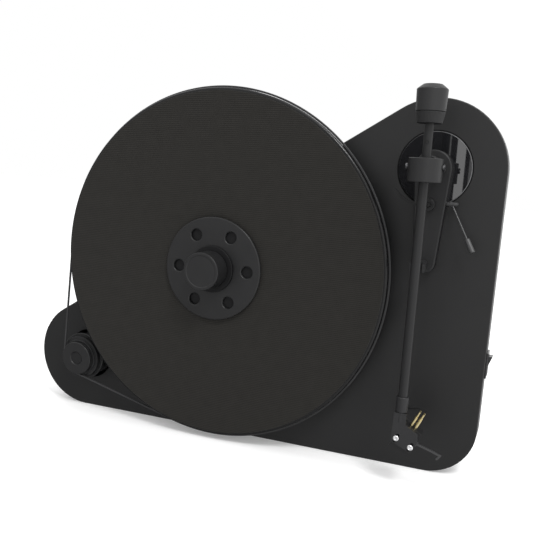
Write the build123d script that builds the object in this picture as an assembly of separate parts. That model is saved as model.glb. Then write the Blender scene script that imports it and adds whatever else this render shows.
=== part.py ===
"""Wall-hung belt-drive turntable, modelled as separate pieces in millimetres.

Frame: +X to the right, +Z up, and the front of the turntable faces -Y.
The origin lies on the wall plane, behind the platter spindle.
Depths are given as the distance in front of the plinth's front face,
so a negative depth is inside or behind the plinth.
"""
import os
from math import atan2, cos, hypot, radians, sin

from build123d import *

# ---------------------------------------------------------------- plinth
plinth_width = 431.5
plinth_height = 303.5
plinth_thickness = 22.0
plinth_edge_round = 1.0
motor_corner_radius = 50.5
arm_corner_radius = 55.6
lower_corner_radius = 41.0
spindle_to_right_edge = 229.6
spindle_above_middle = 3.95
wall_gap = 32.0

# ---------------------------------------------------------------- platter and main bearing
platter_height_margin = 3.5
platter_thickness = 12.0
platter_depth = 13.5
platter_chamfer = 1.2
mat_rim_margin = 2.5
mat_thickness = 1.5
mat_hole_gap = 0.5
spindle_radius = 3.55
spindle_length = 17.0
axle_radius = 5.0
axle_length = 46.0
hub_radius = 32.0
hub_thickness = 5.0
hub_boss_radius = 10.0
hub_screw_ring = 22.0
hub_screw_count = 3
bearing_flange_radius = 26.0
bearing_flange_thickness = 4.0
bearing_tube_radius = 11.0
bearing_bush_radius = 8.0
bearing_screw_ring = 20.0
bearing_screw_count = 3
thrust_ball_radius = 3.0
bearing_end_wall = 3.0

# ---------------------------------------------------------------- record clamp
clamp_radius = 44.3
clamp_disc_thickness = 2.7
clamp_pad_thickness = 1.0
clamp_hole_radius = 5.0
clamp_hole_ring = 32.0
clamp_hole_count = 6
clamp_ring_radius = 20.0
clamp_ring_thickness = 2.6
knob_radius = 15.9
knob_neck_radius = 15.0
knob_neck_length = 1.2
knob_height = 21.8
knob_dish_radius = 13.6
knob_dish_depth = 0.5

# ---------------------------------------------------------------- motor, pulley and belt
pulley_to_corner_x = 6.6
pulley_to_corner_z = 2.6
pulley_depth = 10.5
pulley_flange_radius = 22.6
pulley_flange_thickness = 2.2
fast_step_radius = 20.2
fast_step_width = 4.7
middle_flange_radius = 17.2
middle_flange_thickness = 1.7
slow_step_radius = 14.6
slow_step_width = 2.4
pulley_cap_radius = 15.8
pulley_cap_thickness = 2.0
pulley_dish_radius = 6.6
pulley_dish_depth = 1.2
motor_opening_radius = 24.2
motor_radius = 21.0
motor_length = 36.0
motor_below_face = 5.0
motor_shaft_radius = 1.5
motor_boss_radius = 5.0
motor_boss_height = 2.0
motor_plate_radius = 38.0
motor_plate_thickness = 2.0
motor_screw_ring = 32.0
motor_screw_count = 3
grommet_radius = 4.0
grommet_height = 3.0
belt_size = 1.6
belt_gap = 0.25

# ---------------------------------------------------------------- rear cover and wall hanger
cover_inset = 14.0
cover_wall = 2.0
cover_boss_radius = 4.5
cover_boss_inset = 9.0
hanger_width = 200.0
hanger_height = 58.0
hanger_centre_x = 66.0
hanger_centre_z = -23.0
hanger_thickness = 2.5
keyhole_spacing = 150.0
keyhole_entry_radius = 4.5
keyhole_slot_radius = 2.4
keyhole_slot_rise = 9.0
hanger_screw_spacing_x = 180.0
hanger_screw_spacing_z = 40.0
bumper_radius = 8.0
bumper_wall_margin = 18.0
vent_count = 4
vent_rise = 4.0
vent_pitch = 7.0
vent_width = 3.0
vent_length = 24.0

# ---------------------------------------------------------------- sockets and switch
terminal_plate_length = 112.0
terminal_plate_width = 20.0
terminal_plate_thickness = 1.5
terminal_centre_x = 96.0
dc_offset_x = -42.0
left_channel_offset_x = -8.0
right_channel_offset_x = 12.0
ground_offset_x = 36.0
socket_radius = 4.15
socket_length = 9.5
socket_wall = 0.9
socket_flange_radius = 6.0
dc_body_radius = 5.5
dc_hole_radius = 3.1
dc_pin_radius = 1.0
dc_length = 9.0
ground_post_length = 8.0
ground_nut_radius = 4.2
board_length = 80.0
board_height = 46.0
board_thickness = 1.6
board_standoff = 6.0
board_rise = 14.0
board_post_inset = 4.0
board_post_radius = 3.0
capacitor_count = 4
capacitor_radius = 4.0
capacitor_height = 8.0
capacitor_pitch = 18.0
switch_drop = 59.0
bezel_height = 21.0
bezel_width = 15.0
bezel_proud = 1.6
bezel_frame = 1.5
switch_body_depth = 20.0
rocker_tilt = 10.0
rocker_proud = 3.4
rocker_valley = 2.0

# ---------------------------------------------------------------- tonearm
pivot_to_corner_x = 0.6
pivot_to_corner_z = 1.6
stylus_overhang = 19.3
collar_to_stylus = 44.2
tube_depth = 46.4
tube_radius = 3.6
tube_wall = 0.6
arm_disc_radius = 28.8
arm_disc_proud = 0.5
arm_disc_recess = 3.4
arm_recess_chamfer = 1.0
base_plate_front = 9.5
base_plate_head_radius = 14.4
base_plate_foot_radius = 8.6
base_plate_reach = 73.2
base_screw_aside = 5.0
base_screw_rises = (14.0, 34.0)
pillar_radius = 9.0
pillar_stud_radius = 8.0
pillar_front = 30.2
pillar_nut_size = 13.0
pillar_nut_thickness = 5.0
swing_shaft_radius = 2.5
swing_bearing_radius = 5.0
swing_bearing_width = 4.0
yoke_radius = 12.6
yoke_inner_radius = 10.2
yoke_height = 17.2
yoke_drop = 2.3
yoke_stem_radius = 6.5
sleeve_radius = 8.2
sleeve_height = 13.0
pivot_screw_radius = 1.5
pivot_screw_head = 2.3
pivot_screw_reach = 14.2
stub_radius = 2.9
stub_length = 50.0
stub_hole_rise = 17.5
stub_hole_radius = 0.9
weight_start = 38.8
weight_radius = 11.2
weight_low_radius = 10.7
weight_length = 18.6
weight_round = 3.0
weight_end_wall = 1.2
dial_radius = 10.6
dial_small_radius = 9.05
dial_length = 8.0
weight_gap = 0.3
collar_length = 12.5
collar_radius = 4.8
offset_angle = 25.7
shell_thickness = 2.6
shell_front = 50.6
shell_half_width = 8.8
shell_lip = 4.4
shell_side = 5.5
shell_shoulder = 12.0
shell_slot_length = 5.0
shell_slot_radius = 1.4
cartridge_screw_radius = 1.2
cartridge_screw_head = 2.35
cartridge_screw_spacing = 12.7
stylus_to_screws = 9.5
cartridge_width = 16.4
cartridge_length = 24.0
cartridge_height = 10.4
stylus_overhang_front = 2.0
stylus_block_length = 12.0
stylus_block_width = 12.0
stylus_block_height = 3.8
stylus_height = 14.6
pin_show = 1.5
clip_length = 12.6
clip_mouth_length = 7.5
clip_mouth_radius = 1.15
clip_tail_radius = 0.7
pin_radius = 0.6
lead_radius = 0.25
finger_radius = 0.75
finger_thickness = 0.75
lead_bend_step = 0.9
clip_spacing = 3.6

# ---------------------------------------------------------------- armrest, lift and cue lever
armrest_below_pivot = 73.8
armrest_height = 7.0
armrest_prong = 1.4
armrest_prong_length = 7.0
armrest_post_radius = 3.0
armrest_side_gap = 0.45
lift_gap = 0.3
lift_below_pivot = 27.6
lift_housing_radius = 4.7
lift_housing_front = 15.5
lift_rod_radius = 1.8
lift_bar_depth = 2.4
lift_bar_width = 1.8
lift_bar_start = -9.0
lift_bar_sweep = 62.0
lever_above_lift = 1.3
lever_shaft_radius = 1.4
lever_shaft_start = 5.5
lever_shaft_end = 21.5
lever_knurl_start = 13.2
lever_knurl_rise = 0.25
lever_hub_start = 15.2
lever_hub_width = 1.4
lever_hub_radius = 2.1
lever_bush_radius = 2.6
lever_bush_end = 12.8
lever_rod_radius = 0.75
lever_grip_radius = 2.1
lever_grip_length = 11.5
lever_rod_inset = 4.6
lever_out_angle = 30.0
lever_forward_angle = 12.0
lever_rod_length = 29.3

# ---------------------------------------------------------------- clearances
running_gap = 0.05
seat_gap = 0.1
moving_gap = 0.3
screw_radius = 1.5
screw_head_radius = 2.8
screw_head_height = 1.6
screw_slot_half = 0.4

# ---------------------------------------------------------------- worked-out places
front_face = wall_gap + plinth_thickness
plinth_back = -plinth_thickness
wall_depth = -front_face
right_edge = spindle_to_right_edge
left_edge = right_edge - plinth_width
top_edge = plinth_height / 2 - spindle_above_middle
bottom_edge = top_edge - plinth_height
motor_corner = (left_edge + motor_corner_radius, bottom_edge + motor_corner_radius)
arm_corner = (right_edge - arm_corner_radius, top_edge - arm_corner_radius)
lower_corner = (right_edge - lower_corner_radius, bottom_edge + lower_corner_radius)
corners = [
    (motor_corner, motor_corner_radius),
    (arm_corner, arm_corner_radius),
    (lower_corner, lower_corner_radius),
]

platter_radius = (plinth_height - platter_height_margin) / 2
platter_front = platter_depth + platter_thickness
mat_front = platter_front + mat_thickness
spindle_tip = mat_front + spindle_length
hub_back = platter_depth - hub_thickness
axle_end = hub_back - axle_length
thrust_top = axle_end - 2 * thrust_ball_radius
bearing_back = thrust_top - bearing_end_wall

clamp_back = mat_front + moving_gap
clamp_disc_back = clamp_back + clamp_pad_thickness
clamp_disc_front = clamp_disc_back + clamp_disc_thickness
knob_front = clamp_disc_front + knob_height

pulley_x = motor_corner[0] + pulley_to_corner_x
pulley_z = motor_corner[1] + pulley_to_corner_z
fast_step_start = pulley_depth + pulley_flange_thickness
middle_flange_start = fast_step_start + fast_step_width
slow_step_start = middle_flange_start + middle_flange_thickness
cap_start = slow_step_start + slow_step_width
pulley_front = cap_start + pulley_cap_thickness
belt_back = slow_step_start + (slow_step_width - belt_size) / 2
motor_front = -motor_below_face
motor_back = motor_front - motor_length
motor_plate_back = plinth_back - grommet_height - motor_plate_thickness

hanger_back = wall_depth
hanger_front = hanger_back + hanger_thickness
cover_back = hanger_front
cover_inner_back = cover_back + cover_wall
cover_bottom = bottom_edge + cover_inset
socket_depth = (plinth_back + cover_back) / 2
board_x = terminal_centre_x - board_length / 2
board_z = cover_bottom + cover_wall + board_rise

pivot_x = arm_corner[0] + pivot_to_corner_x
pivot_z = arm_corner[1] + pivot_to_corner_z
effective_length = hypot(pivot_x, pivot_z) + stylus_overhang
tube_side = tube_depth - tube_radius
sleeve_half = sleeve_height / 2
weight_back_z = pivot_z + weight_start + weight_length
dial_start = weight_start - weight_gap - dial_length
collar_top_z = pivot_z - effective_length + collar_to_stylus
collar_bottom_z = collar_top_z - collar_length
shell_back = shell_front - shell_thickness
stylus_x = pivot_x
stylus_z = pivot_z - effective_length
stylus_tip = shell_back - stylus_height
cartridge_back = shell_back - cartridge_height
lift_x = pivot_x
lift_z = pivot_z - lift_below_pivot
lift_front = tube_side - lift_gap
lever_z = lift_z + lever_above_lift
lever_depth = (arm_disc_proud + base_plate_front) / 2
lever_bush_x = pivot_x + (lever_shaft_start + lever_bush_end) / 2
armrest_z = pivot_z - armrest_below_pivot
armrest_half = tube_radius + armrest_side_gap
armrest_front = tube_side - lift_gap
switch_z = -switch_drop
switch_depth = plinth_back / 2


# ---------------------------------------------------------------- helpers
def disc(x, z, start, end, radius):
    """A round bar along Y, from depth start to depth end."""
    place = Pos(x, -front_face - (start + end) / 2, z)
    return place * Rot(90, 0, 0) * Cylinder(radius, end - start)


def ring(x, z, start, end, radius, bore):
    """A tube along Y."""
    return disc(x, z, start, end, radius) - disc(x, z, start - 1, end + 1, bore)


def slab(outline, start, end):
    """An outline drawn in X and Z, made solid from depth start to depth end."""
    return extrude(Plane.XZ.offset(front_face + start) * outline, end - start)


def block(x0, x1, start, end, z0, z1):
    """A box between two X values, two depths and two heights."""
    centre = Pos((x0 + x1) / 2, -front_face - (start + end) / 2, (z0 + z1) / 2)
    return centre * Box(abs(x1 - x0), abs(end - start), abs(z1 - z0))


def upright(x, depth, z0, z1, radius):
    """A round bar along Z at one depth."""
    return Pos(x, -front_face - depth, (z0 + z1) / 2) * Cylinder(radius, abs(z1 - z0))


def crossbar(x0, x1, depth, z, radius):
    """A round bar along X at one depth."""
    place = Pos((x0 + x1) / 2, -front_face - depth, z)
    return place * Rot(0, 90, 0) * Cylinder(radius, abs(x1 - x0))


def point(x, depth, z):
    """A point given by X, depth and Z."""
    return Vector(x, -front_face - depth, z)


def rod_between(first, second, radius):
    """A round bar from one point to another."""
    direction = second - first
    plane = Plane(origin=first, z_dir=direction)
    return extrude(plane * Circle(radius), direction.length)


def ring_points(x, z, radius, count, start_angle=90.0):
    """Points evenly spaced on a circle about (x, z)."""
    step = 360.0 / count
    angles = [radians(start_angle + step * number) for number in range(count)]
    return [(x + radius * cos(angle), z + radius * sin(angle)) for angle in angles]


def outline_of(circles):
    """The straight-sided outline stretched round some (centre, radius) circles."""
    rims = [Pos(centre[0], centre[1]) * Circle(radius) for centre, radius in circles]
    edges = ShapeList([edge for rim in rims for edge in rim.edges()])
    return make_hull(edges)


def plinth_outline(inset):
    """The plinth's outline, moved inwards by inset."""
    return outline_of([(centre, radius - inset) for centre, radius in corners])


def turned(profile, x, z):
    """Turn (radius, depth) profile points about the Y axis through (x, z)."""
    points = [(radius, -front_face - depth) for radius, depth in profile]
    face = make_face(Polyline(*points, close=True))
    solid = revolve(face, Axis.Y)
    return Pos(x, 0, z) * solid


def turned_upright(profile, x, depth):
    """Turn (radius, height) profile points about the Z axis at one X and depth."""
    points = [(radius, 0, height) for radius, height in profile]
    face = make_face(Polyline(*points, close=True))
    solid = revolve(face, Axis.Z)
    return Pos(x, -front_face - depth, 0) * solid


def screw(x, z, start, end, radius=screw_radius, head=screw_head_radius):
    """A screw along Y whose head stands in front of depth end."""
    shank = disc(x, z, start, end, radius)
    cap = disc(x, z, end, end + screw_head_height, head)
    slot = block(x - head, x + head, end + screw_head_height / 2, end + screw_head_height + 1,
                 z - screw_slot_half, z + screw_slot_half)
    return shank + (cap - slot)


def screw_from_back(x, z, start, end):
    """A screw along Y whose head sits behind depth start, facing the wall."""
    shank = disc(x, z, start, end, screw_radius)
    cap = disc(x, z, start - screw_head_height, start, screw_head_radius)
    slot = block(x - screw_slot_half, x + screw_slot_half, start - screw_head_height - 1,
                 start - screw_head_height / 2, z - 2, z + 2)
    return shank + (cap - slot)


def group(solids):
    """Several separate solids kept in one node."""
    return Compound(children=list(solids))


def cover_screw_places():
    """Screw places just inside the rear cover's wall, at corners and mid-edges."""
    places = []
    turns = [(motor_corner, motor_corner_radius, (180, 270)),
             (lower_corner, lower_corner_radius, (270, 0)),
             (arm_corner, arm_corner_radius, (0, 90))]
    for centre, radius, angles in turns:
        reach = radius - cover_inset - cover_boss_inset
        for angle in angles:
            x = centre[0] + reach * cos(radians(angle))
            z = centre[1] + reach * sin(radians(angle))
            places.append((x, z))
    middle_x = (motor_corner[0] + lower_corner[0]) / 2
    places.append((middle_x, bottom_edge + cover_inset + cover_boss_inset))
    return places


def slanted_place(share):
    """A point on the slanted upper side, inside the cover, at a share of its length."""
    run_x = arm_corner[0] - motor_corner[0]
    run_z = arm_corner[1] - motor_corner[1]
    lean = atan2(run_z, run_x) + radians(90)
    reach = motor_corner_radius + share * (arm_corner_radius - motor_corner_radius)
    reach = reach - cover_inset - cover_boss_inset
    x = motor_corner[0] + share * run_x + reach * cos(lean)
    z = motor_corner[1] + share * run_z + reach * sin(lean)
    return (x, z)


cover_screws_at = cover_screw_places() + [slanted_place(0.35)]
cartridge_forward = (-sin(radians(offset_angle)), -cos(radians(offset_angle)))
cartridge_right = (cos(radians(offset_angle)), -sin(radians(offset_angle)))


def on_cartridge(along, across):
    """The X and Z of a point along and across the cartridge, from the stylus."""
    x = stylus_x + along * cartridge_forward[0] + across * cartridge_right[0]
    z = stylus_z + along * cartridge_forward[1] + across * cartridge_right[1]
    return (x, z)


def cartridge_block(along0, along1, across0, across1, start, end):
    """A box squared up to the cartridge."""
    places = [(along0, across0), (along1, across0), (along1, across1), (along0, across1)]
    corners_xz = [on_cartridge(along, across) for along, across in places]
    return slab(make_face(Polyline(*corners_xz, close=True)), start, end)


# ---------------------------------------------------------------- plinth and rear
def make_plinth():
    body = slab(plinth_outline(0), plinth_back, 0)
    rims = body.faces().sort_by(Axis.Y)
    body = fillet(rims[0].edges() + rims[-1].edges(), plinth_edge_round)
    body -= disc(0, 0, plinth_back - 1, 1, bearing_tube_radius + seat_gap)
    for x, z in ring_points(0, 0, bearing_screw_ring, bearing_screw_count):
        body -= disc(x, z, plinth_back / 2, 1, screw_radius + seat_gap)
    body -= disc(pulley_x, pulley_z, plinth_back - 1, 1, motor_opening_radius)
    for x, z in ring_points(pulley_x, pulley_z, motor_screw_ring, motor_screw_count):
        body -= disc(x, z, plinth_back - 1, plinth_back / 2, screw_radius + seat_gap)
    body -= disc(pivot_x, pivot_z, -arm_disc_recess, 1, arm_disc_radius + seat_gap)
    body -= disc(pivot_x, pivot_z, plinth_back - 1, 0, pillar_stud_radius + seat_gap)
    rim_cut = turned([(arm_disc_radius, 0.01), (arm_disc_radius + arm_recess_chamfer, 0.01),
                      (arm_disc_radius, -arm_recess_chamfer)], pivot_x, pivot_z)
    body -= rim_cut
    for x, z in base_screw_places():
        body -= disc(x, z, plinth_back / 2, 1, screw_radius + seat_gap)
    half_height = bezel_height / 2 - bezel_frame + seat_gap
    half_width = bezel_width / 2 - bezel_frame + seat_gap
    body -= block(right_edge - switch_body_depth, right_edge + 1, switch_depth - half_width,
                  switch_depth + half_width, switch_z - half_height, switch_z + half_height)
    for x, z in cover_screws_at:
        body -= disc(x, z, plinth_back - 1, plinth_back / 2, screw_radius + seat_gap)
    return body


def make_rear_cover():
    outer = slab(plinth_outline(cover_inset), cover_back, plinth_back)
    outer = fillet(outer.faces().sort_by(Axis.Y)[-1].edges(), cover_wall)
    inner = slab(plinth_outline(cover_inset + cover_wall), cover_inner_back, plinth_back + 1)
    shell = outer - inner
    for x, z in cover_screws_at:
        shell += disc(x, z, cover_inner_back - 0.5, plinth_back, cover_boss_radius)
    for x, z in board_post_places():
        shell += disc(x, z, cover_inner_back - 0.5, cover_inner_back + board_standoff, board_post_radius)
    for x, z in cover_screws_at:
        shell -= disc(x, z, cover_back - 1, plinth_back + 1, screw_radius + seat_gap)
        shell -= disc(x, z, cover_back - 1, cover_back + screw_head_height, screw_head_radius + seat_gap)
    for offset, hole in terminal_holes():
        x = terminal_centre_x + offset
        shell -= upright(x, socket_depth, cover_bottom - 2, cover_bottom + cover_wall + 2, hole)
    for x, z in hanger_screw_places():
        shell -= disc(x, z, cover_back - 1, cover_inner_back + 1, screw_radius + seat_gap)
    window = keyhole_entry_radius + 1
    for x in keyhole_places():
        shell -= block(x - window, x + window, cover_back - 1, cover_inner_back + 1,
                       hanger_centre_z - window, hanger_centre_z + keyhole_slot_rise + window)
    for number in range(vent_count):
        z = pulley_z + vent_rise + number * vent_pitch
        shell -= block(pulley_x - vent_length / 2, pulley_x + vent_length / 2, cover_back - 1,
                       cover_inner_back + 1, z - vent_width / 2, z + vent_width / 2)
    return shell


def make_rear_screws():
    """The screws driven from the back: through the cover, the hanger plate and the motor plate."""
    cover_seat = cover_back + screw_head_height
    hanger_seat = hanger_back + screw_head_height
    screws = [screw_from_back(x, z, cover_seat, plinth_back / 2 - 1) for x, z in cover_screws_at]
    screws += [screw_from_back(x, z, hanger_seat, cover_inner_back + 3) for x, z in hanger_screw_places()]
    motor_places = ring_points(pulley_x, pulley_z, motor_screw_ring, motor_screw_count)
    screws += [screw_from_back(x, z, motor_plate_back, plinth_back / 2 - 1) for x, z in motor_places]
    return group(screws)


def hanger_screw_places():
    half_x = hanger_screw_spacing_x / 2
    half_z = hanger_screw_spacing_z / 2
    return [(hanger_centre_x + x, hanger_centre_z + z) for x in (-half_x, half_x) for z in (-half_z, half_z)]


def keyhole_places():
    return [hanger_centre_x - keyhole_spacing / 2, hanger_centre_x + keyhole_spacing / 2]


def make_hanger_plate():
    plate = Pos(hanger_centre_x, hanger_centre_z) * RectangleRounded(hanger_width, hanger_height, 5)
    body = slab(plate, hanger_back, hanger_front)
    slot_top = hanger_centre_z + keyhole_slot_rise
    for x in keyhole_places():
        body -= disc(x, hanger_centre_z, hanger_back - 1, hanger_front + 1, keyhole_entry_radius)
        body -= block(x - keyhole_slot_radius, x + keyhole_slot_radius, hanger_back - 1, hanger_front + 1,
                      hanger_centre_z, slot_top)
        body -= disc(x, slot_top, hanger_back - 1, hanger_front + 1, keyhole_slot_radius)
    for x, z in hanger_screw_places():
        body -= disc(x, z, hanger_back - 1, hanger_front + 1, screw_radius + seat_gap)
        body -= disc(x, z, hanger_back - 1, hanger_back + screw_head_height, screw_head_radius + seat_gap)
    return body


def bumper_places():
    low_z = bottom_edge + cover_inset + bumper_radius + bumper_wall_margin
    left = (motor_corner[0] - 2, low_z)
    middle = ((motor_corner[0] + lower_corner[0]) / 2, low_z)
    right = (lower_corner[0] + 2, low_z)
    high = (arm_corner[0] + 4, arm_corner[1] + 4)
    return [left, middle, right, high]


def make_wall_bumpers():
    return group(disc(x, z, wall_depth, cover_back, bumper_radius) for x, z in bumper_places())


# ---------------------------------------------------------------- main bearing and platter
def make_bearing_housing():
    body = disc(0, 0, 0, bearing_flange_thickness, bearing_flange_radius)
    body += disc(0, 0, bearing_back, 0.5, bearing_tube_radius)
    body -= disc(0, 0, bearing_back + bearing_end_wall, bearing_flange_thickness + 1,
                 bearing_bush_radius + seat_gap)
    for x, z in ring_points(0, 0, bearing_screw_ring, bearing_screw_count):
        body -= disc(x, z, -1, bearing_flange_thickness + 1, screw_radius + seat_gap)
    return body


def make_front_screws():
    """The screws driven from the front: through the bearing flange and the arm's base plate."""
    places = ring_points(0, 0, bearing_screw_ring, bearing_screw_count)
    screws = [screw(x, z, plinth_back / 2 + 1, bearing_flange_thickness) for x, z in places]
    seat = base_plate_front - screw_head_height
    screws += [screw(x, z, plinth_back / 2 + 1, seat) for x, z in base_screw_places()]
    return group(screws)


def make_bearing_bush():
    start = axle_end + 2
    return ring(0, 0, start, bearing_flange_thickness, bearing_bush_radius, axle_radius + running_gap)


def make_thrust_ball():
    depth = axle_end - thrust_ball_radius
    return Pos(0, -front_face - depth, 0) * Sphere(thrust_ball_radius - running_gap)


def make_platter():
    rim = platter_radius
    bore = hub_boss_radius + seat_gap
    edge = platter_chamfer
    profile = [(bore, platter_depth), (rim - edge, platter_depth), (rim, platter_depth + edge),
               (rim, platter_front - edge), (rim - edge, platter_front), (bore, platter_front)]
    body = turned(profile, 0, 0)
    for x, z in ring_points(0, 0, hub_screw_ring, hub_screw_count):
        body -= disc(x, z, platter_depth - 1, platter_front - 3, screw_radius + seat_gap)
    return body


def make_platter_mat():
    radius = platter_radius - mat_rim_margin
    return ring(0, 0, platter_front, mat_front, radius, spindle_radius + mat_hole_gap)


def make_platter_hub():
    body = disc(0, 0, hub_back, platter_depth, hub_radius)
    body += disc(0, 0, platter_depth - 0.5, platter_front, hub_boss_radius)
    body -= disc(0, 0, hub_back - 1, platter_front + 1, axle_radius)
    for x, z in ring_points(0, 0, hub_screw_ring, hub_screw_count):
        body -= disc(x, z, hub_back - 1, platter_depth + 1, screw_radius + seat_gap)
        body -= disc(x, z, hub_back - 1, hub_back + screw_head_height, screw_head_radius + seat_gap)
    return body


def make_hub_screws():
    places = ring_points(0, 0, hub_screw_ring, hub_screw_count)
    seat = hub_back + screw_head_height
    return group(screw_from_back(x, z, seat, platter_front - 4) for x, z in places)


def make_platter_axle():
    tip = 1.6
    axle = axle_radius - seat_gap / 2
    profile = [(0, axle_end), (axle_radius - 1, axle_end), (axle_radius, axle_end + 1), (axle_radius, hub_back - 1),
               (axle, hub_back), (axle, platter_front), (spindle_radius, platter_front),
               (spindle_radius, spindle_tip - tip), (spindle_radius - tip, spindle_tip), (0, spindle_tip)]
    return turned(profile, 0, 0)


# ---------------------------------------------------------------- record clamp
def make_clamp_disc():
    body = ring(0, 0, clamp_disc_back, clamp_disc_front, clamp_radius, spindle_radius + mat_hole_gap)
    front = body.faces().sort_by(Axis.Y)[0]
    body = fillet(front.outer_wire().edges(), 1.2)
    for x, z in ring_points(0, 0, clamp_hole_ring, clamp_hole_count, 0.0):
        body -= disc(x, z, clamp_disc_back - 1, clamp_disc_front + 1, clamp_hole_radius)
    return body


def make_clamp_pad():
    outer = clamp_hole_ring - clamp_hole_radius - 2
    return ring(0, 0, clamp_back, clamp_disc_back, outer, spindle_radius + mat_hole_gap)


def make_clamp_knob():
    bore = spindle_radius + running_gap
    ring_front = clamp_disc_front + clamp_ring_thickness
    neck_front = ring_front + knob_neck_length
    profile = [(bore, clamp_disc_front), (clamp_ring_radius, clamp_disc_front),
               (clamp_ring_radius, ring_front - 0.8), (clamp_ring_radius - 0.8, ring_front),
               (knob_neck_radius, ring_front), (knob_neck_radius, neck_front), (knob_radius, neck_front + 0.6),
               (knob_radius, knob_front - 0.7), (knob_radius - 0.7, knob_front), (knob_dish_radius, knob_front),
               (knob_dish_radius - 0.5, knob_front - knob_dish_depth), (0, knob_front - knob_dish_depth),
               (0, spindle_tip + 2), (bore, spindle_tip + 2)]
    return turned(profile, 0, 0)


# ---------------------------------------------------------------- motor, pulley and belt
def make_pulley():
    bore = motor_shaft_radius + running_gap
    profile = [(bore, pulley_depth), (pulley_flange_radius - 0.4, pulley_depth),
               (pulley_flange_radius, pulley_depth + 0.6), (pulley_flange_radius - 0.3, fast_step_start),
               (fast_step_radius, fast_step_start), (fast_step_radius, middle_flange_start),
               (middle_flange_radius, middle_flange_start), (middle_flange_radius, slow_step_start - 0.5),
               (middle_flange_radius - 0.5, slow_step_start), (slow_step_radius, slow_step_start),
               (slow_step_radius, cap_start), (pulley_cap_radius - 0.3, cap_start),
               (pulley_cap_radius, cap_start + 0.3), (pulley_cap_radius, pulley_front - 0.9),
               (pulley_cap_radius - 0.9, pulley_front), (pulley_dish_radius, pulley_front),
               (pulley_dish_radius - 0.7, pulley_front - pulley_dish_depth), (0, pulley_front - pulley_dish_depth),
               (0, cap_start), (bore, cap_start)]
    return turned(profile, pulley_x, pulley_z)


def make_motor_shaft():
    return disc(pulley_x, pulley_z, motor_back + 6, cap_start - 0.3, motor_shaft_radius)


def make_motor_can():
    body = disc(pulley_x, pulley_z, motor_back, motor_front, motor_radius)
    body = fillet(body.edges().filter_by(GeomType.CIRCLE), 1.5)
    body += disc(pulley_x, pulley_z, motor_front - 1, motor_front + motor_boss_height, motor_boss_radius)
    body -= disc(pulley_x, pulley_z, motor_back + 5, motor_front + 5, motor_shaft_radius + running_gap)
    lip_start = motor_plate_back - 1.2
    body += ring(pulley_x, pulley_z, lip_start, motor_plate_back, motor_radius + 2, motor_radius - 1)
    return body


def make_motor_plate():
    body = ring(pulley_x, pulley_z, motor_plate_back, motor_plate_back + motor_plate_thickness,
                motor_plate_radius, motor_radius + seat_gap)
    for x, z in ring_points(pulley_x, pulley_z, motor_screw_ring, motor_screw_count):
        body -= disc(x, z, motor_plate_back - 1, motor_plate_back + 5, screw_radius + seat_gap)
    for x, z in cover_screws_at:
        body -= disc(x, z, motor_plate_back - 1, plinth_back, cover_boss_radius + moving_gap)
    return body & slab(plinth_outline(cover_inset + cover_wall + 1), motor_plate_back - 1, plinth_back)


def make_motor_grommets():
    places = ring_points(pulley_x, pulley_z, motor_screw_ring, motor_screw_count)
    start = plinth_back - grommet_height
    return group(ring(x, z, start, plinth_back, grommet_radius, screw_radius + seat_gap) for x, z in places)


def belt_line(extra):
    """The belt's outline round the platter rim and the slow step, extra outside the belt's inner face."""
    return outline_of([((0, 0), platter_radius + belt_gap + extra),
                       ((pulley_x, pulley_z), slow_step_radius + belt_gap + extra)])


def make_drive_belt():
    outer = slab(belt_line(belt_size), belt_back, belt_back + belt_size)
    inner = slab(belt_line(0), belt_back - 1, belt_back + belt_size + 1)
    return outer - inner


# ---------------------------------------------------------------- sockets, board and switch
def terminal_holes():
    """Each terminal's X offset and the radius of its hole."""
    return [(dc_offset_x, dc_body_radius + seat_gap),
            (left_channel_offset_x, socket_radius + seat_gap),
            (right_channel_offset_x, socket_radius + seat_gap),
            (ground_offset_x, screw_radius + seat_gap)]


def make_terminal_plate():
    half = terminal_plate_length / 2
    body = block(terminal_centre_x - half, terminal_centre_x + half,
                 socket_depth - terminal_plate_width / 2, socket_depth + terminal_plate_width / 2,
                 cover_bottom - terminal_plate_thickness, cover_bottom)
    body = fillet(body.edges().filter_by(Axis.Z), 3)
    for offset, hole in terminal_holes():
        x = terminal_centre_x + offset
        body -= upright(x, socket_depth, cover_bottom - 5, cover_bottom + 5, hole)
    return body


def make_socket(offset):
    x = terminal_centre_x + offset
    face = cover_bottom - terminal_plate_thickness
    body = upright(x, socket_depth, face - socket_length, cover_bottom + cover_wall + 3, socket_radius)
    body += upright(x, socket_depth, face - 1.2, face, socket_flange_radius)
    body -= upright(x, socket_depth, face - socket_length - 1, cover_bottom + 1, socket_radius - socket_wall)
    return body


def make_rca_sockets():
    return group(make_socket(offset) for offset in (left_channel_offset_x, right_channel_offset_x))


def make_insert(offset):
    x = terminal_centre_x + offset
    face = cover_bottom - terminal_plate_thickness
    outer = socket_radius - socket_wall - running_gap
    body = upright(x, socket_depth, face - socket_length + 0.6, cover_bottom + 0.9, outer)
    return body - upright(x, socket_depth, face - socket_length - 1, cover_bottom - 2, 1.7)


def make_rca_inserts():
    return group(make_insert(offset) for offset in (left_channel_offset_x, right_channel_offset_x))


def make_ground_terminal():
    x = terminal_centre_x + ground_offset_x
    face = cover_bottom - terminal_plate_thickness
    body = upright(x, socket_depth, face - ground_post_length, cover_bottom + cover_wall + 4, screw_radius)
    body += upright(x, socket_depth, face - ground_post_length + 1, face - 1.5, ground_nut_radius)
    return body


def make_dc_socket():
    x = terminal_centre_x + dc_offset_x
    face = cover_bottom - terminal_plate_thickness
    body = upright(x, socket_depth, face - 1.6, cover_bottom + dc_length, dc_body_radius)
    body -= upright(x, socket_depth, face - 3, cover_bottom + dc_length - 2, dc_hole_radius)
    body += upright(x, socket_depth, face, cover_bottom + dc_length - 1, dc_pin_radius)
    return body


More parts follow.
